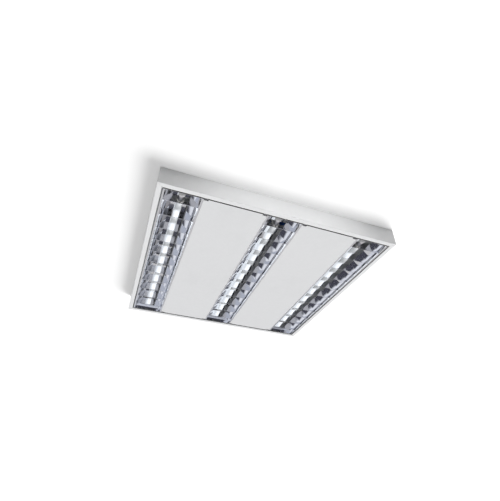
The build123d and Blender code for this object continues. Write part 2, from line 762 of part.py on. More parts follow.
# End rails of the louvre, notched round the clips
rail_top_z = optic_top_z - rail_drop
end_rivet_xs = [bay_x + side * end_rivet_pitch / 2 for bay_x in bay_xs for side in (-1, 1)]
rivet_z = louvre_z + panel_sheet + rivet_above_sheet
for rail_name, end in (("end_rail_front", -1), ("end_rail_rear", 1)):
    with BuildPart() as end_rail:
        rail_low = min(end * rail_face, end * (rail_face + rail_t))
        block(-louvre_x / 2, louvre_x / 2, rail_low, rail_low + rail_t, louvre_z, rail_top_z)
        for pin_x in pin_xs:
            block(pin_x - ear_face, pin_x + ear_face, rail_low, rail_low + rail_t,
                  louvre_z, louvre_z + rail_notch_h, mode=Mode.SUBTRACT)
            for side in (-1, 1):
                ear_x = pin_x + side * (ear_face + ear_t / 2)
                ear_low = min(end * (pin_y - ear_reach), end * (rail_face + rail_t))
                ear_l = rail_face + rail_t - pin_y + ear_reach
                block(ear_x - ear_t / 2, ear_x + ear_t / 2, ear_low, ear_low + ear_l,
                      louvre_z, pin_z + ear_above_pin)
            rod_x(end * pin_y, pin_z, louvre_pin_r, pin_x - ear_back, pin_x + ear_back, mode=Mode.SUBTRACT)
        for rivet_x in end_rivet_xs:
            rod_y(rivet_x, rivet_z, rivet_r + fit_gap / 2, rail_low, rail_low + rail_t, mode=Mode.SUBTRACT)
    finish(rail_name, end_rail.part)

# Infill panels: flat white trays with their edges turned up
side_rivet_ys = [-rivet_pitch, 0.0, rivet_pitch]
for bay_name, bay_x in zip(bay_names, bay_xs):
    with BuildPart() as infill_panel:
        half_w = panel_w / 2
        block(bay_x - half_w, bay_x + half_w, -rail_face, rail_face, louvre_z, louvre_z + panel_flange_h)
        fillet(infill_panel.faces().sort_by(Axis.Z)[0].edges(), radius=panel_fold_r)
        inner_w = half_w - panel_sheet
        inner_l = rail_face - panel_sheet
        block(bay_x - inner_w, bay_x + inner_w, -inner_l, inner_l, louvre_z + panel_sheet,
              louvre_z + panel_flange_h, mode=Mode.SUBTRACT)
        for side in (-1, 1):
            for end in (-1, 1):
                notch_x = bay_x + side * (inner_w - notch_half)
                notch_low = min(end * (pin_y - ear_reach - notch_gap), end * rail_face)
                notch_l = rail_face - pin_y + ear_reach + notch_gap
                block(notch_x - notch_half, notch_x + notch_half, notch_low, notch_low + notch_l,
                      louvre_z, louvre_z + panel_flange_h, mode=Mode.SUBTRACT)
            for rivet_y in side_rivet_ys:
                flange_x = min(bay_x + side * half_w, bay_x + side * inner_w)
                rod_x(rivet_y, rivet_z, rivet_r + fit_gap / 2, flange_x, flange_x + panel_sheet,
                      mode=Mode.SUBTRACT)
        for side in (-1, 1):
            rivet_x = bay_x + side * end_rivet_pitch / 2
            rod_y(rivet_x, rivet_z, rivet_r + fit_gap / 2, -rail_face, rail_face, mode=Mode.SUBTRACT)
    finish("infill_panel_" + bay_name, infill_panel.part)

# Side reflectors: a margin, a stiffening leg and a parabolic wall that closes in towards the lamp
leg_edge = strip_w / 2
leg_top_z = louvre_z + panel_flange_h
bend_point_z = louvre_z + optic_bend_z


def reflector_section(strip_x, side):
    """Section of a side reflector on the XZ plane, closed round its sheet."""
    def at(u, z):
        return (strip_x + side * u, z)
    with BuildLine() as outline:
        Bezier(at(optic_edge, louvre_z), at(optic_edge, bend_point_z), at(optic_top_half_w, optic_top_z))
        Bezier(at(optic_edge + reflector_t, louvre_z + reflector_t),
               at(optic_edge + reflector_t, bend_point_z + reflector_t / 2),
               at(optic_top_half_w + reflector_t, optic_top_z))
        Line(at(optic_top_half_w, optic_top_z), at(optic_top_half_w + reflector_t, optic_top_z))
        Polyline(at(optic_edge, louvre_z), at(leg_edge, louvre_z), at(leg_edge, leg_top_z),
                 at(leg_edge - reflector_t, leg_top_z), at(leg_edge - reflector_t, louvre_z + reflector_t),
                 at(optic_edge + reflector_t, louvre_z + reflector_t))
    make_face(outline.edges())


def cell_section(strip_x):
    """The room between two side reflectors on the XZ plane."""
    with BuildLine() as outline:
        for side in (-1, 1):
            Line((strip_x + side * optic_edge, lip_z), (strip_x + side * optic_edge, louvre_z))
            Bezier((strip_x + side * optic_edge, louvre_z), (strip_x + side * optic_edge, bend_point_z),
                   (strip_x + side * optic_top_half_w, optic_top_z))
        Line((strip_x - optic_edge, lip_z), (strip_x + optic_edge, lip_z))
        Line((strip_x - optic_top_half_w, optic_top_z), (strip_x + optic_top_half_w, optic_top_z))
    make_face(outline.edges())


for strip_name, strip_x in zip(strip_names, strip_xs):
    for side_name, side in (("left", -1), ("right", 1)):
        with BuildPart() as side_reflector:
            with BuildSketch(Plane.XZ):
                reflector_section(strip_x, side)
            extrude(amount=rail_face, both=True)
            next_to_panel = abs(strip_x + side * leg_edge) < louvre_x / 2 - optic_margin
            if next_to_panel:
                for rivet_y in side_rivet_ys:
                    leg_x = min(strip_x + side * leg_edge, strip_x + side * (leg_edge - reflector_t))
                    rod_x(rivet_y, rivet_z, rivet_r + fit_gap / 2, leg_x, leg_x + reflector_t,
                          mode=Mode.SUBTRACT)
        finish("reflector_" + strip_name + "_" + side_name, side_reflector.part)

# Cross blades: folded hollow wedges whose faces flare towards the lamp
blade_bottom_z = louvre_z + blade_lift
blade_top_z = optic_top_z - blade_drop
blade_bend_z = blade_top_z - blade_bend_from_top
half_count = int((rail_face - blade_end_room) / blade_pitch)
blade_ys = [blade_pitch * i for i in range(-half_count, half_count + 1)]


def blade_section(y):
    """Section of one cross blade on the YZ plane."""
    inner_z = blade_bottom_z + 2 * blade_edge_half_w
    inner_edge = blade_edge_half_w - blade_t
    inner_bend = blade_bend_half_w - blade_t
    inner_top = blade_top_half_w - blade_t
    fold_z = blade_bottom_z + blade_edge_half_w
    with BuildLine() as outline:
        for side in (-1, 1):
            Bezier((y + side * blade_edge_half_w, fold_z), (y + side * blade_bend_half_w, blade_bend_z),
                   (y + side * blade_top_half_w, blade_top_z))
            Line((y + side * blade_top_half_w, blade_top_z), (y + side * inner_top, blade_top_z))
            Bezier((y + side * inner_edge, inner_z), (y + side * inner_bend, blade_bend_z),
                   (y + side * inner_top, blade_top_z))
        Line((y - inner_edge, inner_z), (y + inner_edge, inner_z))
        ThreePointArc((y - blade_edge_half_w, fold_z), (y, blade_bottom_z), (y + blade_edge_half_w, fold_z))
    make_face(outline.edges())


def end_reflector_section(end):
    """Section of the mirror that closes a strip against its end rail, on the YZ plane."""
    def at(back, z):
        return (end * (rail_face - back), z)
    flat_z = louvre_z + end_reflector_flat_h
    with BuildLine() as outline:
        Polyline(at(reflector_t, flat_z), at(reflector_t, louvre_z), at(0, louvre_z), at(0, flat_z))
        Bezier(at(reflector_t, flat_z), at(reflector_t, blade_bend_z),
               at(reflector_t + end_reflector_lean, blade_top_z))
        Bezier(at(0, flat_z), at(0, blade_bend_z), at(end_reflector_lean, blade_top_z))
        Line(at(reflector_t + end_reflector_lean, blade_top_z), at(end_reflector_lean, blade_top_z))
    make_face(outline.edges())


for strip_name, strip_x in zip(strip_names, strip_xs):
    with BuildPart() as cross_blades:
        with BuildSketch(Plane.YZ.offset(strip_x)):
            for blade_y in blade_ys:
                blade_section(blade_y)
        extrude(amount=strip_w / 2, both=True)
        with BuildSketch(Plane.XZ):
            cell_section(strip_x)
        extrude(amount=wall_y, both=True, mode=Mode.INTERSECT)
    finish("cross_blades_" + strip_name, cross_blades.part)

    with BuildPart() as end_reflectors:
        with BuildSketch(Plane.YZ.offset(strip_x)):
            end_reflector_section(-1)
            end_reflector_section(1)
        extrude(amount=strip_w / 2, both=True)
        with BuildSketch(Plane.XZ):
            cell_section(strip_x)
        extrude(amount=wall_y, both=True, mode=Mode.INTERSECT)
    finish("end_reflectors_" + strip_name, end_reflectors.part)

# Rivets that hold the panels to the end rails and to the side reflectors
with BuildPart() as louvre_rivets:
    for rivet_x in end_rivet_xs:
        for end in (-1, 1):
            inside = end * (rail_face - panel_sheet)
            outside = end * (rail_face + rail_t)
            rod_y(rivet_x, rivet_z, rivet_r, min(inside, outside), max(inside, outside))
            head_in = inside - end * rivet_head_t
            head_out = outside + end * rivet_head_t
            rod_y(rivet_x, rivet_z, rivet_head_r, min(inside, head_in), max(inside, head_in))
            rod_y(rivet_x, rivet_z, rivet_head_r, min(outside, head_out), max(outside, head_out))
    for bay_x in bay_xs:
        for side in (-1, 1):
            for rivet_y in side_rivet_ys:
                inside = bay_x + side * (panel_w / 2 - panel_sheet)
                outside = bay_x + side * (panel_w / 2 + reflector_t)
                rod_x(rivet_y, rivet_z, rivet_r, min(inside, outside), max(inside, outside))
                head_in = inside - side * rivet_head_t
                head_out = outside + side * rivet_head_t
                rod_x(rivet_y, rivet_z, rivet_head_r, min(inside, head_in), max(inside, head_in))
                rod_x(rivet_y, rivet_z, rivet_head_r, min(outside, head_out), max(outside, head_out))
finish("louvre_rivets", louvre_rivets.part)

print(len(parts), "nodes", "casing", casing_x, casing_y, casing_h)
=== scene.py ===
import bpy
from mathutils import Matrix, Vector


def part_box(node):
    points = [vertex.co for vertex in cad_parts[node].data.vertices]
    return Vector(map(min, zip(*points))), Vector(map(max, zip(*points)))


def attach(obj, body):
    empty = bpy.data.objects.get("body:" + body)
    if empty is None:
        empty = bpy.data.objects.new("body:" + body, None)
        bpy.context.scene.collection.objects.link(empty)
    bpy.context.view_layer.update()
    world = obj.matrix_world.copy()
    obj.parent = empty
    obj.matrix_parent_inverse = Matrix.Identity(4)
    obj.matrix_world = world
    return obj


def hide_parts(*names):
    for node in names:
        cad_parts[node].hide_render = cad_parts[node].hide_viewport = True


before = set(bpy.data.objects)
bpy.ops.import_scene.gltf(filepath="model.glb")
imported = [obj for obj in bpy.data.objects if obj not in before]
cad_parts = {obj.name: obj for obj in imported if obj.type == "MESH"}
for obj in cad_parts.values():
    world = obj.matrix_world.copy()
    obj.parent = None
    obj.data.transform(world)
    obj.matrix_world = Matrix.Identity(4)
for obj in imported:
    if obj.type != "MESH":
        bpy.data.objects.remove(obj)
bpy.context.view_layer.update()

bl_info = {
    "name": "Mirror louvre ceiling light",
    "version": (1, 0, 0),
    "blender": (4, 5, 0),
    "location": "3D View > Sidebar > Ceiling light",
    "description": "Dresses a surface mounted ceiling light with mirror louvres, finishes and a ceiling",
    "category": "Object",
}

STRIPS = ("1", "2", "3")
SIDES = (("left", -1), ("right", 1))


def node_span(name, axis):
    """Lowest and highest place of a CAD node along one axis."""
    low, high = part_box(name)
    return low[axis], high[axis]


def strip_centre(strip):
    """Place across the fixture of one mirror strip's middle."""
    low, high = node_span("cross_blades_" + strip, 0)
    return (low + high) / 2


def blade_total(pitch, top_half_width):
    """How many cross blades stand in a strip."""
    low, high = node_span("cross_blades_1", 1)
    return round((high - low - 2 * top_half_width) / pitch) + 1


REFLECTOR_LOW, REFLECTOR_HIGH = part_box("reflector_1_right")
BLADES_LOW, BLADES_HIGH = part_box("cross_blades_1")


class MirrorSizes(bpy.types.PropertyGroup):
    """Sizes of the mirror louvre's sheets, blades and side reflectors."""

    blade_pitch: bpy.props.FloatProperty(
        name="Blade Pitch", description="Distance between the middles of two blades",
        default=0.05, unit="LENGTH")
    blade_sheet: bpy.props.FloatProperty(
        name="Blade Sheet", description="Thickness of a blade's sheet", default=0.0004, unit="LENGTH")
    blade_edge: bpy.props.FloatProperty(
        name="Blade Edge", description="Half width of a blade at its lower fold",
        default=0.0005, unit="LENGTH")
    blade_bend: bpy.props.FloatProperty(
        name="Blade Bend", description="Half width that a blade's curve bends towards",
        default=0.0008, unit="LENGTH")
    blade_top: bpy.props.FloatProperty(
        name="Blade Top", description="Half width of a blade at the lamp side",
        default=0.0020, unit="LENGTH")
    blade_bend_drop: bpy.props.FloatProperty(
        name="Blade Bend Drop", description="Height from a blade's top down to its bend",
        default=0.0085, unit="LENGTH")
    mirror_sheet: bpy.props.FloatProperty(
        name="Mirror Sheet", description="Thickness of the side and end reflectors",
        default=0.0005, unit="LENGTH")
    margin: bpy.props.FloatProperty(
        name="Margin", description="Flat margin along each side of a strip", default=0.004, unit="LENGTH")
    leg_height: bpy.props.FloatProperty(
        name="Leg Height", description="Height of a side reflector's stiffening leg",
        default=0.012, unit="LENGTH")
    optic_bend: bpy.props.FloatProperty(
        name="Optic Bend", description="Height that a side reflector's curve bends at",
        default=0.014, unit="LENGTH")
    optic_top: bpy.props.FloatProperty(
        name="Optic Top", description="Half width of a strip's mouth at the lamp side",
        default=0.0205, unit="LENGTH")
    end_flat: bpy.props.FloatProperty(
        name="End Flat", description="Upright height at the foot of an end reflector",
        default=0.004, unit="LENGTH")
    end_lean: bpy.props.FloatProperty(
        name="End Lean", description="How far an end reflector leans inwards at its top",
        default=0.0065, unit="LENGTH")
    curve_steps: bpy.props.IntProperty(
        name="Curve Steps", description="Flat steps along each curved sheet", default=20, min=4)


class FastenerSizes(bpy.types.PropertyGroup):
    """Sizes of the rivets and screws."""

    apart: bpy.props.FloatProperty(
        name="Apart", description="Points nearer than this belong to one fastener", default=0.007,
        unit="LENGTH")
    rivet_radius: bpy.props.FloatProperty(
        name="Rivet Radius", description="Radius of a rivet's shank", default=0.00155, unit="LENGTH")
    rivet_head: bpy.props.FloatProperty(
        name="Rivet Head", description="Radius of a rivet's head", default=0.0024, unit="LENGTH")
    rivet_dome: bpy.props.FloatProperty(
        name="Rivet Dome", description="Height of a rivet's head", default=0.0008, unit="LENGTH")
    screw_radius: bpy.props.FloatProperty(
        name="Screw Radius", description="Radius of a screw's thread", default=0.00135, unit="LENGTH")
    screw_head: bpy.props.FloatProperty(
        name="Screw Head", description="Radius of a screw's pan head", default=0.0028, unit="LENGTH")
    screw_dome: bpy.props.FloatProperty(
        name="Screw Dome", description="Height of a screw's pan head", default=0.0012, unit="LENGTH")
    slot_width: bpy.props.FloatProperty(
        name="Slot Width", description="Width of the drive slot", default=0.0008, unit="LENGTH")
    slot_depth: bpy.props.FloatProperty(
        name="Slot Depth", description="Depth of the drive slot", default=0.0005, unit="LENGTH")


class FinishColours(bpy.types.PropertyGroup):
    """Colours of the fixture's finishes."""

    coat: bpy.props.FloatVectorProperty(
        name="Casing Coat", description="Powder coat of the casing and its lip", subtype="COLOR",
        default=(0.82, 0.825, 0.83), min=0, max=1)
    panel: bpy.props.FloatVectorProperty(
        name="Panel Coat", description="Powder coat of the infill panels", subtype="COLOR",
        default=(0.755, 0.76, 0.77), min=0, max=1)
    mirror: bpy.props.FloatVectorProperty(
        name="Mirror", description="Bright anodised aluminium of the louvres", subtype="COLOR",
        default=(0.85, 0.86, 0.885), min=0, max=1)
    plastic: bpy.props.FloatVectorProperty(
        name="Lampholder Plastic", description="Moulded plastic of the lampholders", subtype="COLOR",
        default=(0.74, 0.73, 0.70), min=0, max=1)
    lamp: bpy.props.FloatVectorProperty(
        name="Lamp Glass", description="White coating inside the tubes", subtype="COLOR",
        default=(0.86, 0.88, 0.89), min=0, max=1)
    ceiling: bpy.props.FloatVectorProperty(
        name="Ceiling", description="Paint of the ceiling", subtype="COLOR",
        default=(0.90, 0.90, 0.90), min=0, max=1)


class StageSizes(bpy.types.PropertyGroup):
    """The ceiling, the studio lamps and the camera."""

    ceiling_width: bpy.props.FloatProperty(
        name="Ceiling Width", description="Side of the square ceiling", default=60.0, unit="LENGTH")
    ceiling_lift: bpy.props.FloatProperty(
        name="Ceiling Lift", description="Room between the ceiling face and the ceiling",
        default=0.0002, unit="LENGTH")
    key_side: bpy.props.FloatVectorProperty(
        name="Key Side", description="Direction from the fixture to the main soft light", subtype="XYZ",
        default=(0.9, 0.62, -0.85))
    key_spread: bpy.props.FloatProperty(
        name="Key Spread", description="Angle that the main soft light spreads over",
        default=0.75, subtype="ANGLE")
    key_strength: bpy.props.FloatProperty(
        name="Key Strength", description="Strength of the main soft light", default=3.1)
    beam_place: bpy.props.FloatVectorProperty(
        name="Front Beam Place", description="Where the soft beam in front stands", subtype="XYZ",
        default=(0.02, -1.5, -0.06))
    beam_spread: bpy.props.FloatProperty(
        name="Front Beam Spread", description="Angle that the beam in front opens to",
        default=0.48, subtype="ANGLE")
    beam_power: bpy.props.FloatProperty(
        name="Front Beam Power", description="Watts of the beam in front", default=26.0)
    beam_radius: bpy.props.FloatProperty(
        name="Front Beam Radius", description="Radius of the lamp in front, which softens its shadows",
        default=0.04, unit="LENGTH")
    room_light: bpy.props.FloatProperty(
        name="Room Light", description="Strength of the even light from below", default=0.48)
    camera_place: bpy.props.FloatVectorProperty(
        name="Camera Place", description="Where the camera stands", subtype="XYZ",
        default=(-0.297585, -0.868539, -0.625254))
    camera_right: bpy.props.FloatVectorProperty(
        name="Camera Right", description="Direction of the picture's right side", subtype="XYZ",
        default=(0.938233, -0.345871, 0.0096))
    camera_down: bpy.props.FloatVectorProperty(
        name="Camera Down", description="Direction of the picture's lower side", subtype="XYZ",
        default=(0.214761, 0.560372, -0.799913))
    camera_lens: bpy.props.FloatProperty(
        name="Camera Lens", description="Focal length on a 36 mm sensor", default=26.714)


# Node helpers

def add(tree, kind, inputs=None, **settings):
    """A new node, with its settings, and its inputs given values or links."""
    made = tree.nodes.new(kind)
    for name, value in settings.items():
        setattr(made, name, value)
    for name, value in (inputs or {}).items():
        if isinstance(value, bpy.types.NodeSocket):
            tree.links.new(value, made.inputs[name])
        else:
            made.inputs[name].default_value = value
    return made


def sum_up(tree, operation, first, second=0.0):
    """One step of arithmetic between two values or sockets."""
    return add(tree, "ShaderNodeMath", {0: first, 1: second}, operation=operation).outputs[0]


def times(tree, first, second):
    """One value or socket multiplied by another."""
    return sum_up(tree, "MULTIPLY", first, second)


def plus(tree, first, second):
    """The sum of two values or sockets."""
    return sum_up(tree, "ADD", first, second)


def minus(tree, first, second):
    """The second value or socket taken from the first."""
    return sum_up(tree, "SUBTRACT", first, second)


def axes_of(tree, vector):
    """The three parts of a vector."""
    return add(tree, "ShaderNodeSeparateXYZ", {0: vector}).outputs


def point_axes(tree):
    """Where each point of a geometry lies, along the three axes."""
    return axes_of(tree, tree.nodes.new("GeometryNodeInputPosition").outputs[0])


def point(tree, x, y, z=0.0):
    """A point made of three values or sockets."""
    return add(tree, "ShaderNodeCombineXYZ", {0: x, 1: y, 2: z}).outputs[0]


def new_tree(name, sockets):
    """An empty Geometry Nodes tree with named inputs, and the node that gives them."""
    tree = bpy.data.node_groups.new(name, "GeometryNodeTree")
    tree.interface.new_socket("Geometry", in_out="OUTPUT", socket_type="NodeSocketGeometry")
    kinds = {float: "NodeSocketFloat", int: "NodeSocketInt", str: "NodeSocketMaterial",
             tuple: "NodeSocketGeometry"}
    for label, kind in sockets:
        tree.interface.new_socket(label, in_out="INPUT", socket_type=kinds[kind])
    return tree, tree.nodes.new("NodeGroupInput").outputs


def end_tree(tree, geometry, material):
    """Flat faces keep sharp edges, curved ones shade smoothly, and the tree ends in real geometry."""
    sharp_angle = 0.6
    real = add(tree, "GeometryNodeRealizeInstances", {0: geometry}).outputs[0]
    smooth = add(tree, "GeometryNodeSetShadeSmooth", {"Geometry": real}, domain="FACE").outputs[0]
    angle = tree.nodes.new("GeometryNodeInputMeshEdgeAngle").outputs["Unsigned Angle"]
    sharp = sum_up(tree, "GREATER_THAN", angle, sharp_angle)
    crisp = add(tree, "GeometryNodeSetShadeSmooth",
                {"Geometry": smooth, "Selection": sharp, "Shade Smooth": False}, domain="EDGE").outputs[0]
    done = add(tree, "GeometryNodeSetMaterial", {"Geometry": crisp, "Material": material}).outputs[0]
    tree.links.new(done, tree.nodes.new("NodeGroupOutput").inputs[0])


def grow_piece(name, tree, values, base_mesh=None):
    """The plain mesh object that a tree makes from these input values."""
    seed_object = bpy.data.objects.new(name + "_seed", base_mesh or bpy.data.meshes.new(name + "_seed"))
    bpy.context.scene.collection.objects.link(seed_object)
    modifier = seed_object.modifiers.new(tree.name, "NODES")
    modifier.node_group = tree
    for item in tree.interface.items_tree:
        if item.in_out == "INPUT" and item.name in values:
            modifier[item.identifier] = values[item.name]
    graph = bpy.context.evaluated_depsgraph_get()
    mesh = bpy.data.meshes.new_from_object(seed_object.evaluated_get(graph), depsgraph=graph)
    mesh.name = name
    seed_object.modifiers.remove(modifier)
    bpy.data.objects.remove(seed_object)
    if len(mesh.polygons) == 0:
        raise RuntimeError(name + " has no faces")
    piece = bpy.data.objects.new(name, mesh)
    bpy.context.scene.collection.objects.link(piece)
    return piece


def join(tree, parts):
    """Several geometries as one."""
    joined = tree.nodes.new("GeometryNodeJoinGeometry")
    for part in parts:
        tree.links.new(part, joined.inputs[0])
    return joined.outputs[0]


def line(tree, start, end):
    """A straight piece of an outline."""
    return add(tree, "GeometryNodeCurvePrimitiveLine", {"Start": start, "End": end}).outputs[0]


def bend(tree, steps, start, middle, end):
    """A curved piece of an outline, drawn towards its middle point."""
    return add(tree, "GeometryNodeCurveQuadraticBezier",
               {"Resolution": steps, "Start": start, "Middle": middle, "End": end}).outputs[0]


def close_solid(tree, outline, depth):
    """Fills a closed outline and gives it depth along Z, as one closed solid."""
    weld = 0.000002
    wires = add(tree, "GeometryNodeCurveToMesh", {"Curve": join(tree, outline)}).outputs[0]
    loop = add(tree, "GeometryNodeMergeByDistance", {"Geometry": wires, "Distance": weld}).outputs[0]
    ring = add(tree, "GeometryNodeMeshToCurve", {"Mesh": loop}).outputs[0]
    face = add(tree, "GeometryNodeFillCurve", {"Curve": ring}, mode="NGONS").outputs[0]
    grown = add(tree, "GeometryNodeExtrudeMesh",
                {"Mesh": face, "Offset": (0, 0, 1), "Offset Scale": depth, "Individual": False}).outputs[0]
    under = add(tree, "GeometryNodeFlipFaces", {"Mesh": face}).outputs[0]
    return add(tree, "GeometryNodeMergeByDistance",
               {"Geometry": join(tree, [grown, under]), "Distance": weld}).outputs[0]


def stand_across(tree, solid, given):
    """Turns a solid to run across a strip, and trims its ends to the curve of the side reflectors."""
    split = point_axes(tree)
    height = split[1]
    mouth, middle, top = given["Mouth Height"], given["Curve Height"], given["Top Height"]
    above = minus(tree, height, mouth)
    slope = times(tree, minus(tree, middle, mouth), 2.0)
    twice_middle = times(tree, middle, 2.0)
    fall = minus(tree, plus(tree, mouth, top), twice_middle)
    four_parts = times(tree, times(tree, fall, above), 4.0)
    root = sum_up(tree, "SQRT", plus(tree, times(tree, slope, slope), four_parts))
    along = sum_up(tree, "DIVIDE", times(tree, above, 2.0), plus(tree, slope, root))
    narrowing = minus(tree, given["Mouth Half Width"], given["Top Half Width"])
    lost = times(tree, times(tree, along, along), narrowing)
    reach = minus(tree, given["Mouth Half Width"], lost)
    side = minus(tree, times(tree, split[2], 2.0), 1.0)
    across = plus(tree, times(tree, side, reach), given["Centre"])
    turned = point(tree, across, split[0], height)
    return add(tree, "GeometryNodeSetPosition", {"Geometry": solid, "Position": turned}).outputs[0]


CELL_INPUTS = [("Mouth Height", float), ("Curve Height", float), ("Top Height", float),
               ("Mouth Half Width", float), ("Top Half Width", float), ("Centre", float)]


def cell_values(strip, sizes):
    """The inputs that describe the room between a strip's side reflectors."""
    return {
        "Mouth Height": REFLECTOR_LOW.z,
        "Curve Height": REFLECTOR_LOW.z + sizes.optic_bend,
        "Top Height": REFLECTOR_HIGH.z,
        "Mouth Half Width": (BLADES_HIGH.x - BLADES_LOW.x) / 2,
        "Top Half Width": sizes.optic_top,
        "Centre": strip_centre(strip),
    }


def blade_tree():
    """A row of folded blades across a mirror strip."""
    fold_steps = 5
    tree, given = new_tree("cross_blade_row", CELL_INPUTS + [
        ("Count", int), ("Pitch", float), ("Sheet", float), ("Steps", int), ("Edge", float),
        ("Bend", float), ("Top", float), ("Low", float), ("Bend Height", float), ("High", float),
        ("Material", str)])
    edge, middle, top, sheet = given["Edge"], given["Bend"], given["Top"], given["Sheet"]
    fold = plus(tree, given["Low"], edge)
    inner_low = plus(tree, fold, edge)
    outline = []
    for side in (-1.0, 1.0):
        outer = [times(tree, half, side) for half in (edge, middle, top)]
        inner = [times(tree, minus(tree, half, sheet), side)
                 for half in (edge, middle, top)]
        outer_top = point(tree, outer[2], given["High"])
        inner_top = point(tree, inner[2], given["High"])
        outline.append(bend(tree, given["Steps"], point(tree, outer[0], fold),
                            point(tree, outer[1], given["Bend Height"]), outer_top))
        outline.append(bend(tree, given["Steps"], point(tree, inner[0], inner_low),
                            point(tree, inner[1], given["Bend Height"]), inner_top))
        outline.append(line(tree, outer_top, inner_top))
        # The rounded fold at the blade's lower edge
        tip = point(tree, 0.0, given["Low"])
        corner = point(tree, outer[0], given["Low"])
        outline.append(bend(tree, fold_steps, point(tree, outer[0], fold), corner, tip))
    left_floor = point(tree, minus(tree, sheet, edge), inner_low)
    right_floor = point(tree, minus(tree, edge, sheet), inner_low)
    outline.append(line(tree, left_floor, right_floor))
    blade = stand_across(tree, close_solid(tree, outline, 1.0), given)
    steps_to_middle = sum_up(tree, "DIVIDE", minus(tree, given["Count"], 1.0), 2.0)
    start = times(tree, times(tree, steps_to_middle, given["Pitch"]), -1.0)
    row = add(tree, "GeometryNodeMeshLine",
              {"Count": given["Count"], "Start Location": point(tree, 0.0, start),
               "Offset": point(tree, 0.0, given["Pitch"])}, mode="OFFSET").outputs[0]
    blades = add(tree, "GeometryNodeInstanceOnPoints", {"Points": row, "Instance": blade}).outputs[0]
    end_tree(tree, blades, given["Material"])
    return tree


def end_reflector_tree():
    """The two leaning mirrors that close a strip against its end rails."""
    tree, given = new_tree("end_reflector_pair", CELL_INPUTS + [
        ("Face", float), ("Sheet", float), ("Steps", int), ("Flat Height", float), ("Lean", float),
        ("Bend Height", float), ("High", float), ("Material", str)])
    pair = []
    for end in (-1.0, 1.0):
        outer = times(tree, given["Face"], end)
        inner = times(tree, minus(tree, given["Face"], given["Sheet"]), end)
        lean = times(tree, given["Lean"], end)
        outer_top = point(tree, minus(tree, outer, lean), given["High"])
        inner_top = point(tree, minus(tree, inner, lean), given["High"])
        outer_flat = point(tree, outer, given["Flat Height"])
        inner_flat = point(tree, inner, given["Flat Height"])
        outer_low = point(tree, outer, given["Mouth Height"])
        inner_low = point(tree, inner, given["Mouth Height"])
        outline = [line(tree, outer_low, outer_flat), line(tree, inner_low, inner_flat),
                   line(tree, outer_low, inner_low), line(tree, outer_top, inner_top)]
        for face, flat, top in ((outer, outer_flat, outer_top), (inner, inner_flat, inner_top)):
            middle = point(tree, face, given["Bend Height"])
            outline.append(bend(tree, given["Steps"], flat, middle, top))
        pair.append(stand_across(tree, close_solid(tree, outline, 1.0), given))
    end_tree(tree, join(tree, pair), given["Material"])
    return tree


def side_reflector_tree():
    """A side reflector: leg, margin and a curved wall, as one folded sheet along Y."""
    tree, given = new_tree("side_reflector", CELL_INPUTS + [
        ("Side", float), ("Margin", float), ("Leg Height", float), ("Sheet", float), ("Length", float),
        ("Steps", int), ("Material", str)])
    sheet = given["Sheet"]

    def out(distance):
        return plus(tree, times(tree, distance, given["Side"]), given["Centre"])

    mouth, top = given["Mouth Half Width"], given["Top Half Width"]
    low, high, middle = given["Mouth Height"], given["Top Height"], given["Curve Height"]
    edge = plus(tree, mouth, given["Margin"])
    mouth_back = plus(tree, mouth, sheet)
    low_back = plus(tree, low, sheet)
    top_back = plus(tree, top, sheet)
    edge_back = minus(tree, edge, sheet)
    half_sheet = times(tree, sheet, 0.5)
    middle_back = plus(tree, middle, half_sheet)
    leg_top = plus(tree, low, given["Leg Height"])
    corners = [(mouth, low), (edge, low), (edge, leg_top), (edge_back, leg_top), (edge_back, low_back),
               (mouth_back, low_back)]
    places = [point(tree, out(across), height) for across, height in corners]
    outline = [line(tree, start, end) for start, end in zip(places, places[1:])]
    front_top = point(tree, out(top), high)
    back_top = point(tree, out(top_back), high)
    outline.append(line(tree, front_top, back_top))
    outline.append(bend(tree, given["Steps"], places[0], point(tree, out(mouth), middle), front_top))
    outline.append(bend(tree, given["Steps"], places[-1], point(tree, out(mouth_back), middle_back),
                        back_top))
    solid = close_solid(tree, outline, given["Length"])
    split = point_axes(tree)
    half_length = times(tree, given["Length"], 0.5)
    along = minus(tree, half_length, split[2])
    turned = point(tree, split[0], along, split[1])
    stood = add(tree, "GeometryNodeSetPosition", {"Geometry": solid, "Position": turned}).outputs[0]
    end_tree(tree, stood, given["Material"])
    return tree


def dome(tree, radius, height, segments=24, rings=10):
    """A flat bottomed dome on the XY plane."""
    ball = add(tree, "GeometryNodeMeshUVSphere",
               {"Segments": segments, "Rings": rings, "Radius": 1.0}).outputs[0]
    split = point_axes(tree)
    raised = times(tree, sum_up(tree, "MAXIMUM", split[2], 0.0), height)
    wide = [times(tree, split[axis], radius) for axis in (0, 1)]
    shaped = point(tree, wide[0], wide[1], raised)
    return add(tree, "GeometryNodeSetPosition", {"Geometry": ball, "Position": shaped}).outputs[0]


def on_points(tree, points, instance, size=(1, 1, 1)):
    """Copies of one solid on every point, standing along the direction that the point carries."""
    facing = add(tree, "GeometryNodeInputNamedAttribute", {"Name": "facing"},
                 data_type="FLOAT_VECTOR").outputs[0]
    turn = add(tree, "FunctionNodeAlignRotationToVector", {"Vector": facing}, axis="Z").outputs[0]
    return add(tree, "GeometryNodeInstanceOnPoints",
               {"Points": points, "Instance": instance, "Rotation": turn, "Scale": size}).outputs[0]


def shanks_behind(tree, points, radius):
    """A round shank behind every point, as deep as the point's reach."""
    facets = 20
    shank = add(tree, "GeometryNodeMeshCylinder",
                {"Vertices": facets, "Radius": radius, "Depth": 1.0}).outputs[0]
    sunk = add(tree, "GeometryNodeTransform", {"Geometry": shank, "Translation": (0, 0, -0.5)}).outputs[0]
    reach = add(tree, "GeometryNodeInputNamedAttribute", {"Name": "reach"}, data_type="FLOAT").outputs[0]
    return on_points(tree, points, sunk, point(tree, 1.0, 1.0, reach))


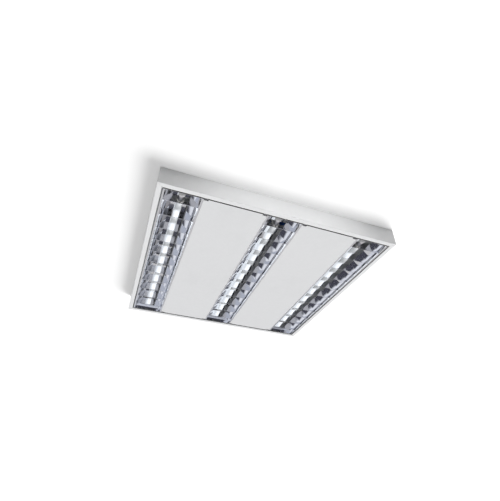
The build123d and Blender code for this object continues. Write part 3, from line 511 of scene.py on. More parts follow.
def rivet_tree():
    """Domed rivet heads, each with its half of the shank behind it."""
    tree, given = new_tree("rivet_set", [
        ("Places", tuple), ("Shank Radius", float), ("Head Radius", float), ("Dome Height", float),
        ("Material", str)])
    heads = on_points(tree, given["Places"], dome(tree, given["Head Radius"], given["Dome Height"]))
    end_tree(tree, join(tree, [heads, shanks_behind(tree, given["Places"], given["Shank Radius"])]),
             given["Material"])
    return tree


def screw_tree():
    """Slotted pan head screws, driven along the direction of their points."""
    tree, given = new_tree("screw_set", [
        ("Places", tuple), ("Thread Radius", float), ("Head Radius", float), ("Dome Height", float),
        ("Slot Width", float), ("Slot Depth", float), ("Material", str)])
    head = dome(tree, given["Head Radius"], given["Dome Height"])
    head_radii_long, depths_high = 3.0, 2.0
    slot_length = times(tree, given["Head Radius"], head_radii_long)
    slot_height = times(tree, given["Slot Depth"], depths_high)
    cutter = add(tree, "GeometryNodeMeshCube",
                 {"Size": point(tree, slot_length, given["Slot Width"], slot_height)}).outputs[0]
    lifted = add(tree, "GeometryNodeTransform",
                 {"Geometry": cutter, "Translation": point(tree, 0.0, 0.0, given["Dome Height"])}).outputs[0]
    # Known fault: this cut takes away most of the head, which should stay whole round the slot
    cut = add(tree, "GeometryNodeMeshBoolean", {"Mesh 1": head, "Mesh 2": lifted},
              operation="DIFFERENCE").outputs[0]
    heads = on_points(tree, given["Places"], cut)
    end_tree(tree, join(tree, [heads, shanks_behind(tree, given["Places"], given["Thread Radius"])]),
             given["Material"])
    return tree


def places_mesh(name, places):
    """A mesh of loose points, each with its fastener's direction and the depth of its shank."""
    mesh = bpy.data.meshes.new(name)
    mesh.from_pydata([place for place, facing, reach in places], [], [])
    # Adding an attribute moves the ones before it, so each is filled before the next is made
    for label, kind, field, part in (("facing", "FLOAT_VECTOR", "vector", 1), ("reach", "FLOAT", "value", 2)):
        entries = mesh.attributes.new(label, kind, "POINT").data
        for entry, fastener in zip(entries, places):
            setattr(entry, field, fastener[part])
    return mesh


def solid_boxes(node, reach):
    """The box of each separate solid of a node, where solids stand further apart than this reach."""
    found = []
    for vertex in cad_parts[node].data.vertices:
        near = [points for points in found if (points[0] - vertex.co).xy.length < reach]
        if near:
            near[0].append(vertex.co)
        else:
            found.append([vertex.co])
    return [[Vector([limit(place[axis] for place in points) for axis in range(3)]) for limit in (min, max)]
            for points in found]


# Shared effects in the finishes

BLACK, WHITE = (0.0, 0.0, 0.0, 1.0), (1.0, 1.0, 1.0, 1.0)


def new_effect(name, inputs, outputs):
    """An empty shader node group with named inputs and outputs."""
    group = bpy.data.node_groups.new(name, "ShaderNodeTree")
    for label, default in inputs:
        kind = "NodeSocketVector" if isinstance(default, tuple) else "NodeSocketFloat"
        socket = group.interface.new_socket(label, in_out="INPUT", socket_type=kind)
        socket.default_value = default
    for label in outputs:
        group.interface.new_socket(label, in_out="OUTPUT", socket_type="NodeSocketFloat")
    return group, group.nodes.new("NodeGroupInput").outputs, group.nodes.new("NodeGroupOutput").inputs


def own_place(tree):
    """The piece's own coordinates."""
    return tree.nodes.new("ShaderNodeTexCoord").outputs["Object"]


def noise(tree, scale, stretch=(1, 1, 1), detail=2.0, roughness=0.5):
    """Noise in the piece's own coordinates, stretched along its axes."""
    mapped = add(tree, "ShaderNodeMapping", {"Vector": own_place(tree), "Scale": stretch}).outputs[0]
    return add(tree, "ShaderNodeTexNoise",
               {"Vector": mapped, "Scale": scale, "Detail": detail, "Roughness": roughness}).outputs["Fac"]


def ramp(tree, value, low, high, low_out=0.0, high_out=1.0):
    """A value spread between two limits."""
    return add(tree, "ShaderNodeMapRange",
               {"Value": value, "From Min": low, "From Max": high, "To Min": low_out,
                "To Max": high_out}).outputs[0]


def fade(tree, mask, start, end):
    """A value that goes from start to end as the mask goes from 0 to 1."""
    return ramp(tree, mask, 0.0, 1.0, start, end)


def peel_effect():
    """The fine orange peel of a sprayed or moulded skin."""
    broad_share, broad_height = 0.11, 0.6
    group, given, out = new_effect("orange_peel", [("Scale", 900.0)], ["Height", "Tone"])
    fine = noise(group, given["Scale"], detail=1.0)
    broad = noise(group, times(group, given["Scale"], broad_share))
    group.links.new(plus(group, fine, times(group, broad, broad_height)), out["Height"])
    group.links.new(broad, out["Tone"])
    return group


def grain_effect():
    """Rolling lines of bright sheet or drawn metal along one axis."""
    cloud_scale = 22.0
    group, given, out = new_effect("rolling_lines", [("Scale", 1.0), ("Stretch", (900.0, 12.0, 900.0))],
                                   ["Height", "Tone"])
    lines = noise(group, given["Scale"], given["Stretch"], detail=3.0, roughness=0.6)
    cloudy = noise(group, cloud_scale, detail=3.0, roughness=0.6)
    group.links.new(lines, out["Height"])
    group.links.new(times(group, plus(group, lines, cloudy), 0.5), out["Tone"])
    return group


def dust_effect():
    """Dust that settles on faces that look up, in uneven patches."""
    group, given, out = new_effect("settled_dust", [("Amount", 0.3), ("Scale", 60.0)], ["Mask"])
    normal = group.nodes.new("ShaderNodeNewGeometry").outputs["Normal"]
    upward = axes_of(group, normal)[2]
    facing = ramp(group, upward, 0.2, 0.9)
    cloudy = noise(group, given["Scale"], detail=4.0, roughness=0.6)
    patches = ramp(group, cloudy, 0.35, 0.75)
    amount = times(group, facing, given["Amount"])
    spread = fade(group, patches, 0.4, 1.0)
    group.links.new(times(group, amount, spread), out["Mask"])
    return group


def smudge_effect():
    """Faint marks that handling leaves, as a mask."""
    streak_share = 4.0
    group, given, out = new_effect("handling_marks", [("Scale", 14.0), ("Amount", 1.0)], ["Mask"])
    soft = noise(group, given["Scale"], detail=5.0, roughness=0.65)
    streaks = noise(group, times(group, given["Scale"], streak_share), stretch=(1.0, 0.2, 1.0))
    mixed = times(group, ramp(group, soft, 0.48, 0.7), ramp(group, streaks, 0.3, 0.7))
    group.links.new(times(group, mixed, given["Amount"]), out["Mask"])
    return group


EFFECT_MAKERS = {"orange_peel": peel_effect, "rolling_lines": grain_effect,
                 "settled_dust": dust_effect, "handling_marks": smudge_effect}


def effect(tree, name, **values):
    """A shared effect placed in a material with its own values."""
    group = bpy.data.node_groups.get(name) or EFFECT_MAKERS[name]()
    placed = tree.nodes.new("ShaderNodeGroup")
    placed.node_tree = group
    for label, value in values.items():
        placed.inputs[label.capitalize()].default_value = value
    return placed.outputs


def shade(colour, share):
    """A colour made darker or lighter by a share."""
    return tuple(min(1.0, part * share) for part in colour[:3]) + (1.0,)


def blend(tree, mask, first, second):
    """One colour turning into another where the mask is."""
    mixed = tree.nodes.new("ShaderNodeMix")
    mixed.data_type = "RGBA"
    tree.links.new(mask, mixed.inputs["Factor"])
    colour_a = [socket for socket in mixed.inputs if socket.name == "A" and socket.type == "RGBA"][0]
    colour_b = [socket for socket in mixed.inputs if socket.name == "B" and socket.type == "RGBA"][0]
    for socket, colour in ((colour_a, first), (colour_b, second)):
        if isinstance(colour, bpy.types.NodeSocket):
            tree.links.new(colour, socket)
        else:
            socket.default_value = colour
    return [socket for socket in mixed.outputs if socket.type == "RGBA"][0]


def new_finish(name):
    """An empty material and its main shader."""
    material = bpy.data.materials.new(name)
    material.use_nodes = True
    tree = material.node_tree
    shader = tree.nodes["Principled BSDF"]
    return material, tree, shader


def roughen(tree, shader, height, depth, strength):
    """Small relief on the shader's normal."""
    relief = add(tree, "ShaderNodeBump", {"Height": height, "Distance": depth, "Strength": strength})
    tree.links.new(relief.outputs[0], shader.inputs["Normal"])


def coated_steel(name, colour, peel=900.0, roughness=0.42):
    """Powder coat on steel: orange peel, faint tone shifts, handling marks and dust on top."""
    dust_colour = (0.46, 0.44, 0.41, 1.0)
    dulling = 0.22
    material, tree, shader = new_finish(name)
    skin = effect(tree, "orange_peel", scale=peel)
    marks = effect(tree, "handling_marks", scale=9.0, amount=0.6)["Mask"]
    dust = effect(tree, "settled_dust", amount=0.35)["Mask"]
    toned = blend(tree, skin["Tone"], shade(colour, 0.975), shade(colour, 1.02))
    marked = blend(tree, marks, toned, shade(colour, 0.93))
    dusty = blend(tree, dust, marked, dust_colour)
    tree.links.new(dusty, shader.inputs["Base Color"])
    gloss = fade(tree, plus(tree, marks, dust), roughness, roughness + dulling)
    tree.links.new(gloss, shader.inputs["Roughness"])
    shader.inputs["IOR"].default_value = 1.5
    roughen(tree, shader, skin["Height"], depth=0.00002, strength=0.35)
    return material


def mirror_sheet(name, colour, stretch, roughness=0.035):
    """Bright anodised aluminium: faint rolling lines, a hazy tone and a few smudges."""
    dust_colour = (0.45, 0.44, 0.42, 1.0)
    dulling, dusty_metal = 0.2, 0.2
    material, tree, shader = new_finish(name)
    lines = effect(tree, "rolling_lines", stretch=stretch)
    marks = effect(tree, "handling_marks", scale=26.0, amount=0.8)["Mask"]
    dust = effect(tree, "settled_dust", amount=0.25)["Mask"]
    toned = blend(tree, lines["Tone"], shade(colour, 0.93), shade(colour, 1.04))
    dusty = blend(tree, dust, toned, dust_colour)
    tree.links.new(dusty, shader.inputs["Base Color"])
    gloss = fade(tree, plus(tree, marks, dust), roughness, roughness + dulling)
    tree.links.new(gloss, shader.inputs["Roughness"])
    tree.links.new(fade(tree, dust, 1.0, dusty_metal), shader.inputs["Metallic"])
    roughen(tree, shader, lines["Height"], depth=0.000004, strength=0.25)
    return material


def moulded_plastic(name, colour, roughness=0.38, peel=1500.0):
    """Moulded plastic with a fine skin and slight toning."""
    dust_colour = (0.42, 0.40, 0.37, 1.0)
    dulling = 0.25
    material, tree, shader = new_finish(name)
    skin = effect(tree, "orange_peel", scale=peel)
    dust = effect(tree, "settled_dust", amount=0.3)["Mask"]
    marks = effect(tree, "handling_marks", scale=40.0, amount=0.5)["Mask"]
    toned = blend(tree, skin["Tone"], shade(colour, 0.94), shade(colour, 1.03))
    dusty = blend(tree, dust, toned, dust_colour)
    tree.links.new(dusty, shader.inputs["Base Color"])
    tree.links.new(fade(tree, marks, roughness, roughness + dulling), shader.inputs["Roughness"])
    shader.inputs["IOR"].default_value = 1.49
    roughen(tree, shader, skin["Height"], depth=0.000015, strength=0.3)
    return material


def worked_metal(name, colour, roughness, stretch, relief=0.3):
    """Plated, drawn or pressed metal with lines along its length and dull patches."""
    mark_dulling = 0.15
    material, tree, shader = new_finish(name)
    lines = effect(tree, "rolling_lines", stretch=stretch)
    marks = effect(tree, "handling_marks", scale=55.0)["Mask"]
    toned = blend(tree, lines["Tone"], shade(colour, 0.8), shade(colour, 1.08))
    dulled = blend(tree, marks, toned, shade(colour, 0.72))
    tree.links.new(dulled, shader.inputs["Base Color"])
    spread = ramp(tree, lines["Tone"], 0.3, 0.7, roughness - 0.06, roughness + 0.1)
    tree.links.new(plus(tree, spread, times(tree, marks, mark_dulling)),
                   shader.inputs["Roughness"])
    shader.inputs["Metallic"].default_value = 1.0
    roughen(tree, shader, lines["Height"], depth=0.00001, strength=relief)
    return material


def lamp_glass(name, colour, half_length):
    """A tube whose white coating greys towards its ends, with a painted glow that lights nothing and is
    painted brighter in the mirrors as a painted reflection.
    """
    grey_length, grey_colour = 0.05, (0.30, 0.28, 0.27, 1.0)
    speckle_scale, cloud_scale = 700.0, 30.0
    middle_glow, end_glow = (0.92, 0.96, 1.0, 1.0), (0.25, 0.2, 0.18, 1.0)
    # Painted glow: only the camera and the mirrors see it, so it lights nothing, and the mirrors see it
    # brighter as a painted reflection
    glow_seen, painted_mirror_glow, glow_strength = 0.3, 0.7, 0.85
    material, tree, shader = new_finish(name)
    along = axes_of(tree, own_place(tree))[1]
    ends = ramp(tree, sum_up(tree, "ABSOLUTE", along), half_length - grey_length, half_length)
    speckle = ramp(tree, noise(tree, speckle_scale), 0.35, 0.7)
    clouds = noise(tree, cloud_scale, stretch=(1, 0.2, 1), detail=3.0)
    powder = blend(tree, clouds, shade(colour, 0.96), shade(colour, 1.03))
    fine = blend(tree, times(tree, speckle, 0.15), powder, shade(colour, 0.9))
    greyed = blend(tree, times(tree, ends, 0.6), fine, grey_colour)
    tree.links.new(greyed, shader.inputs["Base Color"])
    glow = blend(tree, ends, middle_glow, end_glow)
    path = tree.nodes.new("ShaderNodeLightPath").outputs
    straight = times(tree, seen_directly(tree), glow_seen)
    mirrored = times(tree, path["Is Glossy Ray"], painted_mirror_glow)
    shown = blend(tree, plus(tree, straight, mirrored), BLACK, glow)
    tree.links.new(shown, shader.inputs["Emission Color"])
    shader.inputs["Emission Strength"].default_value = glow_strength
    shader.inputs["Roughness"].default_value = 0.16
    shader.inputs["Coat Weight"].default_value = 0.6
    shader.inputs["Coat Roughness"].default_value = 0.03
    roughen(tree, shader, speckle, depth=0.000004, strength=0.15)
    return material


def circuit_board(name):
    """Green lacquer over copper tracks, with lighter lands."""
    material, tree, shader = new_finish(name)
    cells = (260.0, 130.0, 260.0)
    mapped = add(tree, "ShaderNodeMapping", {"Vector": own_place(tree), "Scale": cells}).outputs[0]
    tracks = add(tree, "ShaderNodeTexBrick",
                 {"Vector": mapped, "Scale": 1.0, "Mortar Size": 0.12, "Brick Width": 1.6}).outputs["Fac"]
    lands = add(tree, "ShaderNodeTexVoronoi", {"Vector": mapped, "Scale": 0.9}).outputs["Distance"]
    dots = ramp(tree, lands, 0.1, 0.16, 1.0, 0.0)
    bare_green, track_green = (0.015, 0.10, 0.035, 1.0), (0.035, 0.19, 0.06, 1.0)
    solder = (0.55, 0.54, 0.50, 1.0)
    lacquer = blend(tree, tracks, bare_green, track_green)
    tinned = blend(tree, dots, lacquer, solder)
    tree.links.new(tinned, shader.inputs["Base Color"])
    tree.links.new(fade(tree, dots, 0.0, 0.8), shader.inputs["Metallic"])
    tree.links.new(fade(tree, tracks, 0.42, 0.3), shader.inputs["Roughness"])
    roughen(tree, shader, plus(tree, tracks, dots), depth=0.00004, strength=0.5)
    return material


def black_rubber(name):
    """Dull rubber with a pale bloom."""
    material, tree, shader = new_finish(name)
    skin = effect(tree, "orange_peel", scale=1200.0)
    bloom = effect(tree, "handling_marks", scale=60.0)["Mask"]
    deep, worn, pale = (0.012, 0.012, 0.012, 1.0), (0.03, 0.03, 0.029, 1.0), (0.09, 0.088, 0.085, 1.0)
    base = blend(tree, skin["Tone"], deep, worn)
    tree.links.new(blend(tree, bloom, base, pale), shader.inputs["Base Color"])
    tree.links.new(fade(tree, skin["Tone"], 0.62, 0.85), shader.inputs["Roughness"])
    roughen(tree, shader, skin["Height"], depth=0.00004, strength=0.5)
    return material


# How an insulation's tone, between the first two values, sets its roughness between the last two
WIRE_SHEEN = (0.2, 0.8, 0.34, 0.5)


def insulation(name, colour):
    """Extruded wire insulation with a soft sheen and faint drawing lines."""
    material, tree, shader = new_finish(name)
    lines = effect(tree, "rolling_lines", scale=1.0, stretch=(700.0, 700.0, 700.0))
    skin = effect(tree, "orange_peel", scale=1800.0)
    toned = blend(tree, lines["Tone"], shade(colour, 0.86), shade(colour, 1.08))
    tree.links.new(toned, shader.inputs["Base Color"])
    tree.links.new(ramp(tree, skin["Tone"], *WIRE_SHEEN), shader.inputs["Roughness"])
    roughen(tree, shader, skin["Height"], depth=0.00002, strength=0.35)
    return material


def striped_insulation(name, first, second):
    """Green insulation with a yellow stripe winding along it."""
    material, tree, shader = new_finish(name)
    wave = add(tree, "ShaderNodeTexWave", {"Vector": own_place(tree), "Scale": 75.0, "Distortion": 0.6},
               bands_direction="DIAGONAL").outputs["Fac"]
    stripe = ramp(tree, wave, 0.47, 0.53)
    skin = effect(tree, "orange_peel", scale=1800.0)
    tree.links.new(blend(tree, stripe, shade(first, 1.0), shade(second, 1.0)), shader.inputs["Base Color"])
    tree.links.new(ramp(tree, skin["Tone"], *WIRE_SHEEN), shader.inputs["Roughness"])
    roughen(tree, shader, skin["Height"], depth=0.00002, strength=0.35)
    return material


def finish_named(name):
    """The material of a named finish, made when it is first asked for."""
    made = bpy.data.materials.get(name)
    if made:
        return made
    colours = bpy.context.scene.light_finishes
    long_rolled, cross_rolled = (700.0, 10.0, 700.0), (10.0, 700.0, 700.0)
    fine_lines = (900.0, 40.0, 900.0)
    across_lines = (40.0, 900.0, 900.0)
    lamp_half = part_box("lamp_tube_1")[1].y
    makers = {
        "casing_coat": lambda: coated_steel(name, colours.coat),
        "infill_coat": lambda: coated_steel(name, colours.panel, 1100.0, 0.5),
        "carrier_paint": lambda: mirror_sheet(name, (0.85, 0.86, 0.88), long_rolled, 0.09),
        # Near-black coat on the end rails is painted shade, so the gap along the lip reads dark
        "rail_painted_shade": lambda: coated_steel(name, (0.05, 0.05, 0.052), 1000.0, 0.45),
        "long_mirror": lambda: mirror_sheet(name, colours.mirror, long_rolled),
        "blade_mirror": lambda: mirror_sheet(name, colours.mirror, cross_rolled),
        "holder_plastic": lambda: moulded_plastic(name, colours.plastic),
        "rotor_plastic": lambda: moulded_plastic(name, (0.70, 0.66, 0.56), 0.34),
        "block_plastic": lambda: moulded_plastic(name, (0.55, 0.55, 0.54), 0.45),
        "board_lacquer": lambda: circuit_board(name),
        "grommet_rubber": lambda: black_rubber(name),
        "tube_glass": lambda: lamp_glass(name, colours.lamp, lamp_half),
        "cap_metal": lambda: worked_metal(name, (0.80, 0.80, 0.80), 0.3, (60.0, 900.0, 60.0)),
        "brass": lambda: worked_metal(name, (0.78, 0.56, 0.24), 0.28, fine_lines),
        "zinc_plate": lambda: worked_metal(name, (0.62, 0.63, 0.64), 0.34, fine_lines),
        "spring_steel": lambda: worked_metal(name, (0.50, 0.51, 0.53), 0.26, across_lines),
        "ballast_zinc": lambda: worked_metal(name, (0.70, 0.71, 0.72), 0.4, across_lines, 0.4),
        "brown_wire": lambda: insulation(name, (0.16, 0.06, 0.025)),
        "blue_wire": lambda: insulation(name, (0.03, 0.12, 0.42)),
        "white_wire": lambda: insulation(name, (0.72, 0.72, 0.70)),
        "earth_wire": lambda: striped_insulation(name, (0.05, 0.26, 0.05), (0.75, 0.62, 0.05)),
    }
    return makers[name]()


def dress(finish, names):
    """CAD nodes take one finish on every material slot."""
    material = finish_named(finish)
    for name in names:
        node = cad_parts[name]
        if len(node.material_slots) == 0:
            node.data.materials.append(material)
        for slot in node.material_slots:
            slot.material = material


def settle(piece, body, nodes):
    """A finished piece rides on its body in place of its CAD nodes."""
    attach(piece, body)
    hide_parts(*nodes)


class LIGHT_OT_casing_finish(bpy.types.Operator):
    """Finish the casing, the lamp carriers and the small parts on the back plate"""

    bl_idname = "light.casing_finish"
    bl_label = "Casing Finish"

    def execute(self, context):
        dress("casing_coat", ["housing_shell"])
        dress("carrier_paint", ["lamp_carrier_" + strip for strip in STRIPS])
        dress("grommet_rubber", ["cable_grommet"])
        dress("spring_steel", ["catch_clips", "hinge_clips"])
        dress("zinc_plate", ["earth_stud", "earth_nut"])
        dress("block_plastic", ["wire_clips"])
        return {"FINISHED"}


class LIGHT_OT_gear_finish(bpy.types.Operator):
    """Finish the ballasts, the terminals and the wiring"""

    bl_idname = "light.gear_finish"
    bl_label = "Gear Finish"

    def execute(self, context):
        dress("ballast_zinc", ["ballast_case_1", "ballast_case_2"])
        dress("board_lacquer", ["ballast_boards"])
        dress("block_plastic", ["ballast_terminals", "terminal_block"])
        dress("brass", ["terminal_screws", "lampholder_contacts"])
        dress("brown_wire", ["wire_live"])
        dress("blue_wire", ["wire_neutral"])
        dress("earth_wire", ["wire_earth"])
        dress("white_wire", ["lamp_wiring_1", "lamp_wiring_2"])
        return {"FINISHED"}


class LIGHT_OT_lamp_finish(bpy.types.Operator):
    """Finish the tubes, their caps and pins, and the lampholders"""

    bl_idname = "light.lamp_finish"
    bl_label = "Lamp Finish"

    def execute(self, context):
        for strip in STRIPS:
            dress("tube_glass", ["lamp_tube_" + strip])
            dress("cap_metal", ["lamp_caps_" + strip])
            dress("brass", ["lamp_pins_" + strip])
            dress("rotor_plastic", ["rotors_" + strip])
            dress("holder_plastic", ["lampholders_" + strip])
        return {"FINISHED"}


class LIGHT_OT_louvre_finish(bpy.types.Operator):
    """Finish the infill panels, the end rails and the louvre's pins"""

    bl_idname = "light.louvre_finish"
    bl_label = "Louvre Finish"

    def execute(self, context):
        dress("infill_coat", ["infill_panel_1", "infill_panel_2"])
        # The end rails take a near-black coat as painted shade in the gap along the lip
        dress("rail_painted_shade", ["end_rail_front", "end_rail_rear"])
        dress("zinc_plate", ["catch_pins", "hinge_pins"])
        return {"FINISHED"}


class LIGHT_OT_cross_blades(bpy.types.Operator):
    """Make the rows of folded mirror blades"""

    bl_idname = "light.cross_blades"
    bl_label = "Cross Blades"

    def execute(self, context):
        sizes = context.scene.light_mirrors
        tree = blade_tree()
        for strip in STRIPS:
            values = cell_values(strip, sizes)
            values.update({
                "Count": blade_total(sizes.blade_pitch, sizes.blade_top), "Pitch": sizes.blade_pitch,
                "Sheet": sizes.blade_sheet, "Steps": sizes.curve_steps, "Edge": sizes.blade_edge,
                "Bend": sizes.blade_bend, "Top": sizes.blade_top, "Low": BLADES_LOW.z,
                "Bend Height": BLADES_HIGH.z - sizes.blade_bend_drop, "High": BLADES_HIGH.z,
                "Material": finish_named("blade_mirror"),
            })
            piece = grow_piece("mirror_blades_" + strip, tree, values)
            settle(piece, "louvre", ["cross_blades_" + strip])
        return {"FINISHED"}


class LIGHT_OT_side_reflectors(bpy.types.Operator):
    """Make the curved side reflectors of every strip"""

    bl_idname = "light.side_reflectors"
    bl_label = "Side Reflectors"

    def execute(self, context):
        sizes = context.scene.light_mirrors
        tree = side_reflector_tree()
        for strip in STRIPS:
            for side_name, side in SIDES:
                values = cell_values(strip, sizes)
                values.update({
                    "Side": float(side), "Margin": sizes.margin, "Leg Height": sizes.leg_height,
                    "Sheet": sizes.mirror_sheet, "Length": REFLECTOR_HIGH.y - REFLECTOR_LOW.y,
                    "Steps": sizes.curve_steps, "Material": finish_named("long_mirror"),
                })
                piece = grow_piece("mirror_side_" + strip + "_" + side_name, tree, values)
                settle(piece, "louvre", ["reflector_" + strip + "_" + side_name])
        return {"FINISHED"}


class LIGHT_OT_end_reflectors(bpy.types.Operator):
    """Make the leaning mirrors at both ends of every strip"""

    bl_idname = "light.end_reflectors"
    bl_label = "End Reflectors"

    def execute(self, context):
        sizes = context.scene.light_mirrors
        tree = end_reflector_tree()
        for strip in STRIPS:
            values = cell_values(strip, sizes)
            values.update({
                "Face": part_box("end_reflectors_" + strip)[1].y, "Sheet": sizes.mirror_sheet,
                "Steps": sizes.curve_steps, "Flat Height": REFLECTOR_LOW.z + sizes.end_flat,
                "Lean": sizes.end_lean, "Bend Height": BLADES_HIGH.z - sizes.blade_bend_drop,
                "High": BLADES_HIGH.z, "Material": finish_named("blade_mirror"),
            })
            piece = grow_piece("mirror_ends_" + strip, tree, values)
            settle(piece, "louvre", ["end_reflectors_" + strip])
        return {"FINISHED"}


class LIGHT_OT_screws(bpy.types.Operator):
    """Make the screws of the carriers and ballasts"""

    bl_idname = "light.screws"
    bl_label = "Screws"

    def execute(self, context):
        sizes = context.scene.light_fasteners
        tree = screw_tree()
        for node in ("carrier_screws", "ballast_screws"):
            places = []
            for low, high in solid_boxes(node, sizes.apart):
                middle = (low + high) / 2
                length = high.z - low.z - sizes.screw_dome
                places.append(((middle.x, middle.y, low.z + sizes.screw_dome), (0.0, 0.0, -1.0), length))
            values = {
                "Thread Radius": sizes.screw_radius, "Head Radius": sizes.screw_head,
                "Dome Height": sizes.screw_dome, "Slot Width": sizes.slot_width,
                "Slot Depth": sizes.slot_depth, "Material": finish_named("zinc_plate"),
            }
            piece = grow_piece("pan_" + node, tree, values, places_mesh(node + "_places", places))
            settle(piece, "housing", [node])
        return {"FINISHED"}


class LIGHT_OT_rivets(bpy.types.Operator):
    """Make the rivets that hold the rails, panels and reflectors together"""

    bl_idname = "light.rivets"
    bl_label = "Rivets"

    def execute(self, context):
        sizes = context.scene.light_fasteners
        places = []
        for low, high in solid_boxes("louvre_rivets", sizes.apart):
            middle = (low + high) / 2
            size = high - low
            axis = 0 if size.x < size.y else 1
            reach = size[axis] / 2 - sizes.rivet_dome
            for side in (-1, 1):
                facing = Vector((0, 0, 0))
                facing[axis] = side
                places.append((middle + facing * reach, facing, reach))
        values = {"Shank Radius": sizes.rivet_radius, "Head Radius": sizes.rivet_head,
                  "Dome Height": sizes.rivet_dome, "Material": finish_named("zinc_plate")}
        piece = grow_piece("domed_rivets", rivet_tree(), values, places_mesh("rivet_places", places))
        settle(piece, "louvre", ["louvre_rivets"])
        return {"FINISHED"}


class LIGHT_OT_stage(bpy.types.Operator):
    """Make the ceiling, the studio lamps, the surroundings and the camera"""

    bl_idname = "light.stage"
    bl_label = "Stage"

    def execute(self, context):
        sizes = context.scene.light_stage
        make_ceiling(sizes)
        key = bpy.data.lights.new("key_light", "SUN")
        key.angle = sizes.key_spread
        key.energy = sizes.key_strength
        aim_light(key, sizes.key_side)
        beam = bpy.data.lights.new("front_beam", "SPOT")
        beam.spot_size = sizes.beam_spread
        beam.spot_blend = 1.0
        beam.shadow_soft_size = sizes.beam_radius
        beam.energy = sizes.beam_power
        aim_light(beam, sizes.beam_place)
        make_surroundings(context.scene, sizes.room_light)
        make_camera(context.scene, sizes)
        context.scene.view_settings.view_transform = "Standard"
        return {"FINISHED"}


def seen_directly(tree):
    """1 for what the camera, a mirror or glass sees, and 0 for light that falls on things."""
    path = tree.nodes.new("ShaderNodeLightPath").outputs
    seen = plus(tree, path["Is Camera Ray"], path["Is Glossy Ray"])
    return sum_up(tree, "MINIMUM", plus(tree, seen, path["Is Transmission Ray"]), 1.0)


def make_ceiling(sizes):
    """A plain painted ceiling that is clear from above, so that other views see the fixture."""
    half = sizes.ceiling_width / 2
    lift = sizes.ceiling_lift
    paint = sizes.id_data.light_finishes.ceiling
    dullness, glow_seen = 0.95, 0.25
    mesh = bpy.data.meshes.new("ceiling")
    mesh.from_pydata([(-half, -half, lift), (-half, half, lift), (half, half, lift), (half, -half, lift)],
                     [], [(0, 1, 2, 3)])
    ceiling = bpy.data.objects.new("ceiling", mesh)
    bpy.context.scene.collection.objects.link(ceiling)
    material, tree, shader = new_finish("ceiling_paint")
    skin = effect(tree, "orange_peel", scale=300.0)
    toned = blend(tree, skin["Tone"], shade(paint, 0.985), shade(paint, 1.0))
    tree.links.new(toned, shader.inputs["Base Color"])
    shader.inputs["Roughness"].default_value = dullness
    shader.inputs["Specular IOR Level"].default_value = 0.0
    glow = tree.nodes.new("ShaderNodeEmission")
    tree.links.new(times(tree, seen_directly(tree), glow_seen), glow.inputs["Strength"])
    lit = add(tree, "ShaderNodeAddShader", {0: shader.outputs[0], 1: glow.outputs[0]}).outputs[0]
    clear = tree.nodes.new("ShaderNodeBsdfTransparent").outputs[0]
    behind = tree.nodes.new("ShaderNodeNewGeometry").outputs["Backfacing"]
    both = add(tree, "ShaderNodeMixShader", {0: behind, 1: lit, 2: clear}).outputs[0]
    tree.links.new(both, tree.nodes["Material Output"].inputs["Surface"])
    mesh.materials.append(material)


def aim_light(light, place):
    """A light standing at a place and looking at the fixture."""
    holder = bpy.data.objects.new(light.name, light)
    bpy.context.scene.collection.objects.link(holder)
    holder.location = place
    holder.rotation_mode = "QUATERNION"
    holder.rotation_quaternion = (-Vector(place)).to_track_quat("-Z", "Y")
    holder.visible_glossy = False


def make_surroundings(scene, room_light):
    """White where the camera looks, a room in the mirrors, and even light from below.

    The mirrored room has a pale wall and a near-black floor in front, a grey wall and a grey floor
    at the back, and darker walls to the right.
    """
    near_pale, near_dark = (0.95, 0.96, 1.0, 1.0), (0.36, 0.35, 0.36, 1.0)
    far_pale, far_dark = (0.66, 0.68, 0.75, 1.0), (0.05, 0.05, 0.05, 1.0)
    near_floor, far_floor = (0.08, 0.08, 0.10, 1.0), (0.60, 0.59, 0.60, 1.0)
    upper_share = 0.15
    world = bpy.data.worlds.new("studio")
    world.use_nodes = True
    scene.world = world
    tree = world.node_tree
    background = tree.nodes["Background"]
    direction = tree.nodes.new("ShaderNodeTexCoord").outputs["Generated"]
    split = axes_of(tree, direction)
    ahead = ramp(tree, split[1], -0.15, 0.25)
    right = ramp(tree, split[0], 0.0, 0.6)
    low = ramp(tree, split[2], -0.52, -0.40, 1.0, 0.0)
    near_wall = blend(tree, right, near_pale, near_dark)
    near_room = blend(tree, low, near_wall, near_floor)
    far_wall = blend(tree, right, far_pale, far_dark)
    far_room = blend(tree, low, far_wall, far_floor)
    room = blend(tree, ahead, near_room, far_room)
    path = tree.nodes.new("ShaderNodeLightPath").outputs
    seen = blend(tree, path["Is Glossy Ray"], WHITE, room)
    tree.links.new(seen, background.inputs["Color"])
    below = ramp(tree, split[2], -0.9, -0.1, room_light, room_light * upper_share)
    direct = seen_directly(tree)
    shaded = times(tree, minus(tree, 1.0, direct), below)
    tree.links.new(plus(tree, direct, shaded), background.inputs["Strength"])


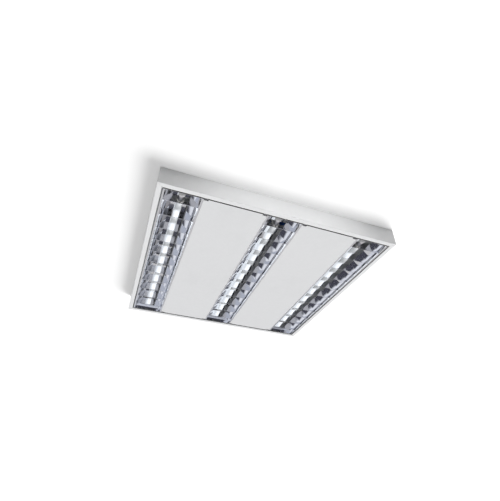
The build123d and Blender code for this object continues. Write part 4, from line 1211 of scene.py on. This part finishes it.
def make_camera(scene, sizes):
    """The camera at the picture's viewing angle."""
    data = bpy.data.cameras.new("camera")
    data.sensor_width = 36.0
    data.lens = sizes.camera_lens
    camera = bpy.data.objects.new("camera", data)
    scene.collection.objects.link(camera)
    right = Vector(sizes.camera_right).normalized()
    up = -Vector(sizes.camera_down).normalized()
    back = right.cross(up)
    turn = Matrix((right, up, back)).transposed()
    camera.matrix_world = Matrix.Translation(sizes.camera_place) @ turn.to_4x4()
    scene.camera = camera


OPERATORS = (LIGHT_OT_casing_finish, LIGHT_OT_gear_finish, LIGHT_OT_lamp_finish, LIGHT_OT_louvre_finish,
             LIGHT_OT_cross_blades, LIGHT_OT_side_reflectors, LIGHT_OT_end_reflectors,
             LIGHT_OT_screws, LIGHT_OT_rivets, LIGHT_OT_stage)
SETTINGS = (("light_mirrors", MirrorSizes), ("light_fasteners", FastenerSizes),
            ("light_finishes", FinishColours), ("light_stage", StageSizes))


class LIGHT_PT_panel(bpy.types.Panel):
    """The steps that dress the ceiling light"""

    bl_idname = "LIGHT_PT_panel"
    bl_label = "Ceiling light"
    bl_space_type = "VIEW_3D"
    bl_region_type = "UI"
    bl_category = "Ceiling light"

    def draw(self, context):
        for operator in OPERATORS:
            self.layout.operator(operator.bl_idname)
        for name, group in SETTINGS:
            settings = getattr(context.scene, name)
            box = self.layout.box()
            for label in group.__annotations__:
                box.prop(settings, label)


def register():
    for name, group in SETTINGS:
        bpy.utils.register_class(group)
        setattr(bpy.types.Scene, name, bpy.props.PointerProperty(type=group))
    for operator in OPERATORS:
        bpy.utils.register_class(operator)
    bpy.utils.register_class(LIGHT_PT_panel)


def unregister():
    bpy.utils.unregister_class(LIGHT_PT_panel)
    for operator in reversed(OPERATORS):
        bpy.utils.unregister_class(operator)
    for name, group in reversed(SETTINGS):
        delattr(bpy.types.Scene, name)
        bpy.utils.unregister_class(group)


def main():
    """Dresses the whole fixture."""
    register()
    bpy.ops.light.casing_finish()
    bpy.ops.light.gear_finish()
    bpy.ops.light.lamp_finish()
    bpy.ops.light.louvre_finish()
    bpy.ops.light.cross_blades()
    bpy.ops.light.side_reflectors()
    bpy.ops.light.end_reflectors()
    bpy.ops.light.screws()
    bpy.ops.light.rivets()
    bpy.ops.light.stage()


if __name__ == "__main__":
    main()
